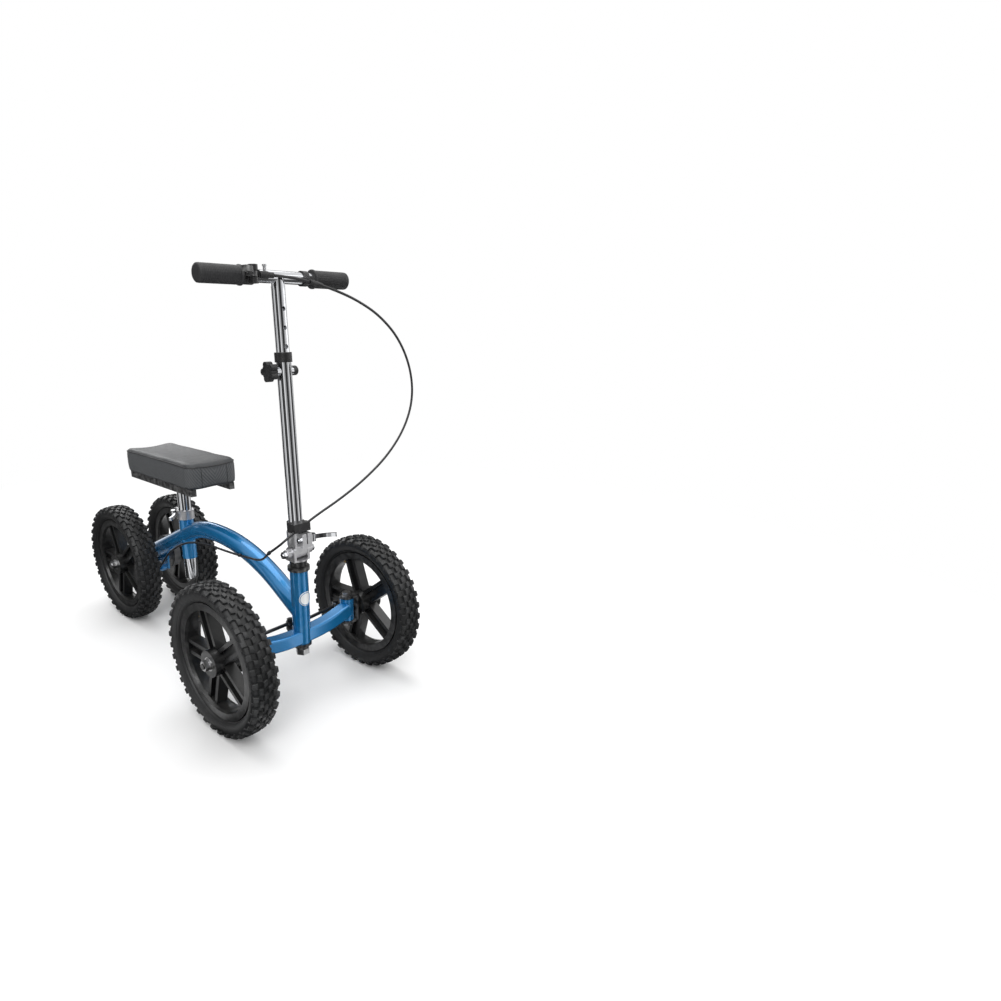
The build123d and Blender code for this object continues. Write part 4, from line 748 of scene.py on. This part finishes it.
# ------------------------------------------------------------------ knee pad
@dataclass
class KneePad:
    """A foam pad in grained vinyl, hollowed along its middle, with a welt round its top."""

    shrink: float = 3.0
    cap: float = 3.0
    evening: int = 30
    voxel: float = 0.005
    trough: float = 7.0
    welt_radius: float = 1.3
    welt_drop: float = 7.0
    seam_x: tuple[float, ...] = (-33.0, 33.0)
    low: Vector = field(default_factory=lambda: Vector(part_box("knee_pad")[0]))
    high: Vector = field(default_factory=lambda: Vector(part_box("knee_pad")[1]))

    def outline(self, inset: float, steps: int = 10, corner: float = 0.027) -> list[Vector]:
        """Return the pad's plan as points, inset from the CAD box.

        Args:
            inset: how far inside the box, in metres.
            steps: points at each corner.
            corner: the corner's radius before the inset.

        Returns:
            Points with z = 0, anticlockwise.
        """
        middle = (self.low + self.high) / 2
        half = (self.high - self.low) / 2
        radius = max(corner - inset, 0.004)
        points = []
        for quarter, (sx, sy) in enumerate(((1, 1), (-1, 1), (-1, -1), (1, -1))):
            hub = Vector(
                (middle.x + sx * (half.x - inset - radius), middle.y + sy * (half.y - inset - radius), 0)
            )
            for step in range(steps + 1):
                angle = pi / 2 * (quarter + step / steps)
                points.append(hub + Vector((cos(angle), sin(angle), 0)) * radius)
        return points

    def blank(self) -> bpy.types.Object:
        """Return the closed blank that the foam swells from."""
        mesh = bmesh.new()
        inset = self.shrink * MM
        tall = self.high.z - self.low.z
        rings = []
        for share, extra in (
            (0.0, 0.006), (0.05, 0.001), (0.3, 0.0), (0.7, 0.0), (0.9, 0.001), (1.0, 0.007)
        ):
            plan = self.outline(inset + extra)
            level = self.low.z + 0.0006 + (tall - inset) * share
            rings.append([mesh.verts.new((p.x, p.y, level)) for p in plan])
        bridge_rings(mesh, rings, closed=False)
        mesh.faces.new(rings[0])
        mesh.faces.new(rings[-1])
        return new_piece("knee_cushion", mesh, VINYL)

    def swell(self, pad: bpy.types.Object) -> None:
        """Let air pressure round the foam, then keep the result in the mesh.

        Args:
            pad: the blank, changed in place.
        """
        remesh = pad.modifiers.new("even cells", "REMESH")
        remesh.mode = "VOXEL"
        remesh.voxel_size = self.voxel
        self.apply(pad)
        rest = [v.co.copy() for v in pad.data.vertices]
        cloth = pad.modifiers.new("foam", "CLOTH")
        cloth.settings.use_pressure = True
        cloth.settings.uniform_pressure_force = 4.0
        cloth.settings.effector_weights.gravity = 0.0
        cloth.settings.quality = 6
        cloth.settings.tension_stiffness = 25
        scene = bpy.context.scene
        for moment in range(1, 21):
            scene.frame_set(moment)
        self.apply(pad)
        scene.frame_set(1)
        moved = self.evened(pad, [v.co - start for v, start in zip(pad.data.vertices, rest)])
        for vertex, start, shift in zip(pad.data.vertices, rest, moved):
            if shift.length > self.cap * MM:
                shift = shift.normalized() * self.cap * MM
            vertex.co = start + shift
        pad.data.update()

    def evened(self, pad: bpy.types.Object, shifts: list[Vector]) -> list[Vector]:
        """Spread the swelling over neighbouring points, so that the foam stays taut.

        Args:
            pad: the pad, for its edges.
            shifts: how far each point moved.

        Returns:
            The evened shifts, in the same order.
        """
        beside: list[list[int]] = [[] for _ in shifts]
        for edge in pad.data.edges:
            one, two = edge.vertices
            beside[one].append(two)
            beside[two].append(one)
        for _ in range(self.evening):
            shifts = [
                (shift + sum((shifts[other] for other in near), Vector())) / (1 + len(near))
                for shift, near in zip(shifts, beside)
            ]
        return shifts

    @staticmethod
    def apply(pad: bpy.types.Object) -> None:
        """Replace the mesh with its evaluated form and drop the modifiers."""
        bpy.context.view_layer.update()
        graph = bpy.context.evaluated_depsgraph_get()
        shaped = bpy.data.meshes.new_from_object(pad.evaluated_get(graph))
        pad.modifiers.clear()
        pad.data = shaped

    def hollow(self, pad: bpy.types.Object) -> None:
        """Dish the top for the shin and keep the underside flat on its base."""
        middle = (self.low + self.high) / 2
        half = (self.high - self.low) / 2
        tall = self.high.z - self.low.z
        for vertex in pad.data.vertices:
            point = vertex.co
            rise = min(max((point.z - self.low.z) / tall, 0.0), 1.0)
            across = min(abs(point.x - middle.x) / half.x, 1.0)
            back = (point.y - self.low.y) / (2 * half.y)
            dish = self.trough * (0.45 + 0.75 * back) * (1 - across**2)
            point.z -= dish * MM * rise**3
            if point.z < self.low.z + 0.0005:
                point.z = self.low.z + 0.0005
        pad.data.update()
        for face in pad.data.polygons:
            face.use_smooth = True

    def cord(self, name: str, points: Sequence[Vector], tree: BVHTree, radius: float) -> None:
        """Sew a thin cord to the pad's surface.

        Args:
            name: the piece's name.
            points: its line, near the surface.
            tree: the pad's surface.
            radius: the cord's radius.
        """
        laid = []
        for point in points:
            place = tree.find_nearest(point)[0]
            laid.append(place)
        smooth = [laid[0]]
        for before, now, after in zip(laid, laid[1:], laid[2:]):
            smooth.append((before + now * 2 + after) / 4)
        smooth.append(laid[-1])
        piece = new_piece(name, sweep_tube(smooth, radius, 10), WELT)
        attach(piece, "seat")

    def build(self) -> bpy.types.Object:
        """Build the pad with its welt and seams.

        Returns:
            The cushion.
        """
        pad = self.blank()
        self.swell(pad)
        self.hollow(pad)
        tree = BVHTree.FromObject(pad, bpy.context.evaluated_depsgraph_get())
        smooth = pad.modifiers.new("skin", "SUBSURF")
        smooth.levels = 1
        smooth.render_levels = 1
        welt_z = self.high.z - self.welt_drop * MM
        ring = [Vector((p.x, p.y, welt_z)) for p in self.outline(0.0, 14)]
        middle = (self.low + self.high) / 2
        dense: list[Vector] = []
        for one, two in zip(ring, ring[1:] + ring[:1]):
            count = max(1, round((two - one).length / 0.006))
            dense.extend(one.lerp(two, step / count) for step in range(count))
        for point in dense:
            back = (point.y - self.low.y) / (self.high.y - self.low.y)
            across = min(abs(point.x - middle.x) / ((self.high.x - self.low.x) / 2), 1.0)
            point.z -= self.trough * (0.45 + 0.75 * back) * (1 - across**2) * MM * 0.75
        self.cord("pad_welt", dense + [dense[0].copy()], tree, self.welt_radius * MM)
        for side, y in (("front", self.low.y), ("rear", self.high.y)):
            for x in self.seam_x:
                tall = [self.low.z + 0.003 + (welt_z - self.low.z - 0.008) * step / 9 for step in range(10)]
                line = [Vector((x * MM, y, z)) for z in tall]
                hand = "left" if x > 0 else "right"
                self.cord(f"pad_seam_{side}_{hand}", line, tree, 0.0007)
        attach(pad, "seat")
        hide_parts("knee_pad")
        LOG.info("knee pad: %d faces", len(pad.data.polygons))
        return pad


# ------------------------------------------------------------------ handlebar pieces
@dataclass
class Grips:
    """Two ribbed rubber grips with a lip at the inner end and a rounded outer end."""

    inner: float = 78.0
    outer: float = 163.0
    radius: float = 15.2
    ribs: int = 22
    rib_height: float = 0.9

    def profile(self) -> list[tuple[float, float]]:
        """Return the grip's outline as (distance along the bar, radius)."""
        points = [
            (self.inner, 11.15), (self.inner, 16.6), (self.inner + 1, 17.4), (self.inner + 3.6, 17.4),
            (self.inner + 5, 15.6)
        ]
        start = self.inner + 7
        step = (self.outer - 8 - start) / self.ribs
        for index in range(self.ribs):
            base = start + index * step
            points += [
                (base, self.radius), (base + step * 0.25, self.radius + self.rib_height),
                (base + step * 0.62, self.radius + self.rib_height), (base + step * 0.85, self.radius),
            ]
        points += [
            (self.outer - 6, 16.0), (self.outer - 2, 15.6), (self.outer - 0.6, 14.2), (self.outer, 11.5),
            (self.outer, 2.0)
        ]
        return points

    def build(self) -> None:
        """Build both grips and flute them lengthwise."""
        low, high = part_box("grips")
        centre = Vector((0, (low[1] + high[1]) / 2, (low[2] + high[2]) / 2))
        for side, hand in ((1, "left"), (-1, "right")):
            outline = [(side * x * MM, r * MM) for x, r in self.profile()]
            mesh = spun(outline, centre, 72, closed=False)
            for vertex in mesh.verts:
                offset = vertex.co - centre
                radius = hypot(offset.y, offset.z)
                along = abs(offset.x) / MM
                if radius > (self.radius + 0.4) * MM and self.inner + 6 < along < self.outer - 7:
                    angle = atan2(offset.z, offset.y)
                    sink = 0.45 * MM * (0.5 + 0.5 * cos(angle * 24))
                    vertex.co -= Vector((0, offset.y, offset.z)).normalized() * sink
            grip = new_piece(f"grip_{hand}", mesh, GRIP)
            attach(grip, "handlebar")
            if side == 1:
                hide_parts("grips")
            LOG.info("grip %s", hand)


# ------------------------------------------------------------------ brake cable
@dataclass
class CableRun:
    """One stretch of the brake cable between two of the object's bodies."""

    node: str
    points: tuple[Point, ...]
    length: float
    first: str
    second: str | None = None
    bend_from: Point = (0.0, 0.0, 0.0)
    bend_to: Point = (0.0, 0.0, 0.0)


@dataclass
class BrakeCable:
    """The brake cable's housing, whole from the lever to its stop at the rear brake."""

    radius: float = 2.5
    runs: tuple[CableRun, ...] = (
        CableRun(
            "cable_upper",
            (
                (
                    -0.0255, -0.3350, 0.8495
                ), (0.016, -0.337, 0.848), (0.058, -0.340, 0.841), (0.108, -0.341, 0.831),
                (
                    0.170, -0.341, 0.813
                ), (0.234, -0.341, 0.784), (0.290, -0.342, 0.738), (0.326, -0.343, 0.676),
                (
                    0.334, -0.344, 0.610
                ), (0.306, -0.346, 0.548), (0.250, -0.348, 0.494), (0.176, -0.350, 0.452),
                (0.100, -0.351, 0.421), (0.0329, -0.3507, 0.3993), (-0.0037, -0.3507, 0.3839),
            ),
            0.899, "handlebar", "column", (0.09, -0.341, 0.82), (0.05, -0.351, 0.42),
        ),
        CableRun(
            "cable_fold",
            (
                (-0.0043, -0.3507, 0.3837), (-0.0280, -0.3507, 0.3737), (-0.052, -0.338, 0.352),
                (-0.056, -0.312, 0.334)
            ),
            0.0905, "column", "steerer", (-0.02, -0.3507, 0.378), (-0.056, -0.314, 0.336),
        ),
        CableRun(
            "cable_steer",
            (
                (
                    -0.056, -0.310, 0.3325
                ), (-0.049, -0.284, 0.313), (-0.038, -0.250, 0.297), (-0.029, -0.205, 0.287),
                (-0.025, -0.163, 0.281),
            ),
            0.1617, "steerer", "frame", (-0.054, -0.300, 0.325), (-0.026, -0.175, 0.283),
        ),
        CableRun(
            "cable_frame",
            (
                (
                    -0.025, -0.143, 0.279
                ), (-0.023, -0.085, 0.274), (-0.024, -0.020, 0.273), (-0.029, 0.060, 0.262),
                (-0.031, 0.126, 0.234), (-0.030, 0.180, 0.200), (-0.027, 0.222, 0.163), (
                    -0.0235, 0.2513, 0.1411
                ),
            ),
            0.4318, "frame",
        ),
    )

    def centreline(self, run: CableRun) -> list[Vector]:
        """Return points along a run's smooth line.

        Args:
            run: the stretch.

        Returns:
            Points read from its NURBS spline.
        """
        data = bpy.data.curves.new(f"{run.node}_line", "CURVE")
        data.dimensions = "3D"
        data.resolution_u = 12
        spline = data.splines.new("NURBS")
        spline.points.add(len(run.points) - 1)
        for control, point in zip(spline.points, run.points):
            control.co = (*point, 1.0)
        spline.order_u = 3
        spline.use_endpoint_u = True
        line = bpy.data.objects.new(f"{run.node}_line", data)
        bpy.context.scene.collection.objects.link(line)
        bpy.context.view_layer.update()
        shaped = bpy.data.meshes.new_from_object(line.evaluated_get(bpy.context.evaluated_depsgraph_get()))
        points = [v.co.copy() for v in shaped.vertices]
        bpy.data.objects.remove(line)
        bpy.data.meshes.remove(shaped)
        return points

    def build(self) -> None:
        for run in self.runs:
            path = self.centreline(run)
            piece = new_piece(f"{run.node}_housing", sweep_tube(path, self.radius * MM, 14), HOUSING)
            if run.second:
                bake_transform(piece)
            else:
                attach(piece, run.first)
            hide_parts(run.node)
            LOG.info("cable %s: %d points", run.node, len(path))


@dataclass
class CableClips:
    """Bands that hold the cable to the frame and the steerer."""

    band_width: float = 7.0
    places: tuple[tuple[str, Point, float], ...] = (
        ("frame", (-0.025, -0.153, 0.280), 0.0038),
        ("frame", (-0.0272, 0.030, 0.2672), 0.0038),
        ("steerer", (-0.0555, -0.311, 0.3333), 0.0040),
    )

    def build(self) -> None:
        """Build each clip as a short sleeve."""
        for index, (body, place, radius) in enumerate(self.places):
            ahead = Vector(
                (0.15, 0.95, -0.3)
            ).normalized() if body == "frame" else Vector((0.1, 0.6, -0.5)).normalized()
            middle = Vector(place)
            half = self.band_width / 2 * MM
            path = [middle + ahead * half * step / 3 for step in range(-3, 4)]
            mesh = sweep_tube(path, radius, 18)
            clip = new_piece(f"cable_band_{index}", mesh, PLASTIC)
            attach(clip, body)
            LOG.info("cable band %d on %s", index, body)


# ------------------------------------------------------------------ linkage
@dataclass
class LinkNuts:
    """Bright domed nuts over the studs of the steering linkage."""

    across_flats: float = 13.6
    tall: float = 6.4
    places: tuple[tuple[str, str, float, float], ...] = (
        ("knuckle_left", "knuckle_left", 0.136, -0.285),
        ("knuckle_right", "knuckle_right", -0.136, -0.285),
    )

    def dome(self, centre: Vector) -> bmesh.types.BMesh:
        """Return a hexagonal nut with a domed top.

        Args:
            centre: the middle of the nut's seat.

        Returns:
            The nut's mesh.
        """
        mesh = bmesh.new()
        corner = self.across_flats / 2 / cos(pi / 6) * MM
        rings = []
        for reach, level, sides in ((0.96, 0.0, 6), (1.0, 0.08, 6), (1.0, 0.5, 6), (0.94, 0.62, 6)):
            ring = []
            for step in range(sides * 4):
                whole, part = divmod(step, 4)
                one = Vector((cos(whole * pi / 3), sin(whole * pi / 3), 0))
                two = Vector((cos((whole + 1) * pi / 3), sin((whole + 1) * pi / 3), 0))
                flat = one.lerp(two, part / 4) * corner * reach
                ring.append(mesh.verts.new(centre + flat + Vector((0, 0, level * self.tall * MM))))
            rings.append(ring)
        for step in range(1, 6):
            turn = pi / 2 * step / 6
            reach = self.across_flats / 2 * 0.82 * cos(turn) * MM
            level = (0.62 + 0.38 * sin(turn)) * self.tall * MM
            around = [2 * pi * k / 24 for k in range(24)]
            rings.append(
                [mesh.verts.new(centre + Vector((reach * cos(a), reach * sin(a), level))) for a in around]
            )
        bridge_rings(mesh, rings, closed=False)
        mesh.faces.new(rings[0])
        mesh.faces.new(rings[-1])
        return mesh

    def build(self) -> None:
        """Build each nut on its stud."""
        for name, node, x, y in self.places:
            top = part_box(node)[1][2]
            seat = Vector((x, y, self.seat_height(node, x, y, top)))
            nut = new_piece(f"link_nut_{name}", self.dome(seat), ZINC, smooth=False)
            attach(nut, name)
        LOG.info("link nuts")

    @staticmethod
    def seat_height(node: str, x: float, y: float, top: float) -> float:
        """Return how high the stud's top stands, found by looking down on the node.

        Args:
            node: the node that carries the stud.
            x: the stud's place across.
            y: the stud's place along.
            top: a height above the node.

        Returns:
            The height of the nut's seat, in metres.
        """
        tree = BVHTree.FromObject(bpy.data.objects[node], bpy.context.evaluated_depsgraph_get())
        spot = tree.ray_cast(Vector((x, y, top + 0.05)), Vector((0, 0, -1)))[0]
        return (spot.z if spot else top) - 0.0075


# ------------------------------------------------------------------ badge
@dataclass
class Badge:
    """A plain round enamel badge wrapped on the head tube, with a raised rim."""

    radius: float = 15.5
    height: float = 0.228
    facing: float = radians(-88)
    rings: int = 8
    spokes: int = 40

    def build(self) -> None:
        """Build the badge's face and rim."""
        centre = box_centre("head_tube")
        tube = (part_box("head_tube")[1][0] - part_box("head_tube")[0][0]) / 2

        def wrapped(reach: float, turn: float, stand: float) -> Vector:
            """Return a point of the badge laid on the tube."""
            side = reach * cos(turn) / tube
            angle = self.facing + side
            place = Vector((cos(angle), sin(angle), 0)) * (tube + stand)
            return Vector((centre.x + place.x, centre.y + place.y, self.height + reach * sin(turn)))

        mesh = bmesh.new()
        rings = []
        for step in range(1, self.rings + 1):
            reach = self.radius * MM * step / self.rings
            rings.append(
                [
                    mesh.verts.new(
                        wrapped(reach, 2 * pi * s / self.spokes, 0.0007)
                    ) for s in range(self.spokes)
                ]
            )
        skirt = [
            mesh.verts.new(
                wrapped(self.radius * MM, 2 * pi * s / self.spokes, 0.0)
            ) for s in range(self.spokes)
        ]
        bridge_rings(mesh, rings + [skirt], closed=False)
        mesh.faces.new(rings[0])
        face = new_piece("badge_face", mesh, BADGE)
        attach(face, "frame")
        rim = [wrapped(self.radius * MM * 0.86, 2 * pi * s / 60, 0.0008) for s in range(61)]
        ring = new_piece("badge_ring", sweep_tube(rim, 0.0007, 8), BLUE)
        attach(ring, "frame")
        LOG.info("badge")


# ------------------------------------------------------------------ studio
@dataclass
class Studio:
    """Pale floor, soft lights and the camera."""

    camera_place: Point = (-0.7475, -1.3154, 0.7705)
    azimuth: float = -46.33
    elevation: float = 18.4
    lens: float = 22.84
    shift: tuple[float, float] = (0.107, 0.0336)
    column_setback: float = 0.33

    def camera(self) -> None:
        """Set up the camera."""
        data = bpy.data.cameras.new("camera")
        data.lens = self.lens
        data.sensor_width = 36.0
        data.shift_x, data.shift_y = self.shift
        data.clip_end = 200.0
        camera = bpy.data.objects.new("camera", data)
        camera.location = self.camera_place
        camera.rotation_euler = Euler((radians(90 - self.elevation), 0, radians(self.azimuth)))
        bpy.context.scene.collection.objects.link(camera)
        bpy.context.scene.camera = camera

    @staticmethod
    def strips(graph: Graph, x: bpy.types.NodeSocket, y: bpy.types.NodeSocket) -> bpy.types.NodeSocket:
        """Return how bright the studio is in each direction, in upright strips.

        Args:
            graph: the node tree to build in.
            x: the direction's x.
            y: the direction's y.

        Returns:
            A level from near 0 in a dark strip to 1 in a bright one.
        """
        turn = graph.math("ARCTAN2", y, x)
        wide = graph.span(
            graph.math("SINE", graph.math("MULTIPLY_ADD", turn, 5.0, 0.7)), -0.1, 0.3, 0.08, 1.0
        )
        fine = graph.span(
            graph.math("SINE", graph.math("MULTIPLY_ADD", turn, 13.0, 1.9)), -0.3, 0.1, 0.4, 1.0
        )
        return graph.math("MULTIPLY", wide, fine)

    def floor(self) -> None:
        """Lay a pale floor that fades into the backdrop's white; mirrors see it in strips."""
        mesh = bmesh.new()
        rings = []
        for radius in (0.6, 1.2, 2.4, 5.0, 12.0, 40.0):
            rings.append(
                [
                    mesh.verts.new(
                        (radius * cos(2 * pi * s / 64), radius * sin(2 * pi * s / 64), 0)
                    ) for s in range(64)
                ]
            )
        bridge_rings(mesh, rings, closed=False)
        mesh.faces.new(rings[0])
        data = bpy.data.meshes.new("studio_floor")
        mesh.to_mesh(data)
        mesh.free()
        floor = bpy.data.objects.new("studio_floor", data)
        bpy.context.scene.collection.objects.link(floor)
        material = bpy.data.materials.new("studio_floor")
        material.use_nodes = True
        graph = Graph(material.node_tree)
        reach = graph.node("ShaderNodeVectorMath", {0: graph.place()}, operation="LENGTH").outputs["Value"]
        fade = graph.span(reach, 0.7, 2.2)
        pale = graph.node("ShaderNodeBsdfDiffuse", {"Color": (0.9, 0.9, 0.9, 1)})
        glow = graph.node("ShaderNodeEmission", {"Color": (1, 1, 1, 1), "Strength": 1.0})
        both = graph.node("ShaderNodeMixShader", {0: fade, 1: pale.outputs[0], 2: glow.outputs[0]})
        part = graph.node("ShaderNodeSeparateXYZ", {0: graph.place()})
        level = self.strips(graph, part.outputs[0], graph.math("ADD", part.outputs[1], self.column_setback))
        mirrored = graph.node("ShaderNodeLightPath").outputs["Is Glossy Ray"]
        shade = graph.math("MULTIPLY", mirrored, graph.math("SUBTRACT", 1.0, level))
        dark = graph.node("ShaderNodeEmission", {"Color": (0, 0, 0, 1), "Strength": 0.0})
        seen = graph.node("ShaderNodeMixShader", {0: shade, 1: both.outputs[0], 2: dark.outputs[0]})
        graph.node("ShaderNodeOutputMaterial", {"Surface": seen.outputs[0]})
        floor.data.materials.append(material)

    def sky(self) -> None:
        """Light the scene from all round, with darker bands for the plated parts to mirror."""
        world = bpy.data.worlds.new("studio")
        world.use_nodes = True
        bpy.context.scene.world = world
        graph = Graph(world.node_tree)
        where = graph.node("ShaderNodeTexCoord").outputs["Generated"]
        parts = graph.node("ShaderNodeSeparateXYZ", {0: where})
        level = self.strips(graph, parts.outputs[0], parts.outputs[1])
        high = graph.span(parts.outputs[2], 0.25, 0.7)
        soft = graph.math("MAXIMUM", level, high)
        light = graph.math("MULTIPLY", soft, 0.95)
        seen = graph.node("ShaderNodeLightPath").outputs["Is Camera Ray"]
        strength = graph.math("MAXIMUM", light, seen)
        back = graph.node("ShaderNodeBackground", {"Color": (1, 1, 1, 1), "Strength": strength})
        graph.node("ShaderNodeOutputWorld", {"Surface": back.outputs[0]})

    def lamps(self) -> None:
        """Hang the soft boxes."""
        aim = Vector((0, -0.1, 0.35))
        for name, place, size, power in (
            ("key", (-1.6, -2.0, 2.3), 1.6, 34.0),
            ("fill", (2.2, -1.2, 1.5), 1.8, 16.0),
            ("top", (0.2, 0.3, 2.8), 2.2, 26.0),
            ("rim", (0.6, 2.4, 1.6), 1.4, 14.0),
        ):
            data = bpy.data.lights.new(name, "AREA")
            data.size = size
            data.energy = power
            lamp = bpy.data.objects.new(name, data)
            lamp.location = place
            lamp.rotation_euler = (aim - Vector(place)).to_track_quat("-Z", "Y").to_euler()
            bpy.context.scene.collection.objects.link(lamp)

    def build(self) -> None:
        """Build the whole studio."""
        self.camera()
        self.floor()
        self.sky()
        self.lamps()
        bpy.context.scene.view_settings.view_transform = "Standard"
        LOG.info("studio ready")


def main() -> None:
    """Build and finish everything in order."""
    logging.basicConfig(level=logging.INFO)
    Studio().build()
    BrakeCable().build()
    SHOP.coat_nodes()
    for corner in ("front_left", "front_right", "rear_left", "rear_right"):
        Tyre(corner).build()
        Valve(corner).build()
    KneePad().build()
    Grips().build()
    CableClips().build()
    LinkNuts().build()
    Badge().build()


if __name__ == "__main__":
    main()
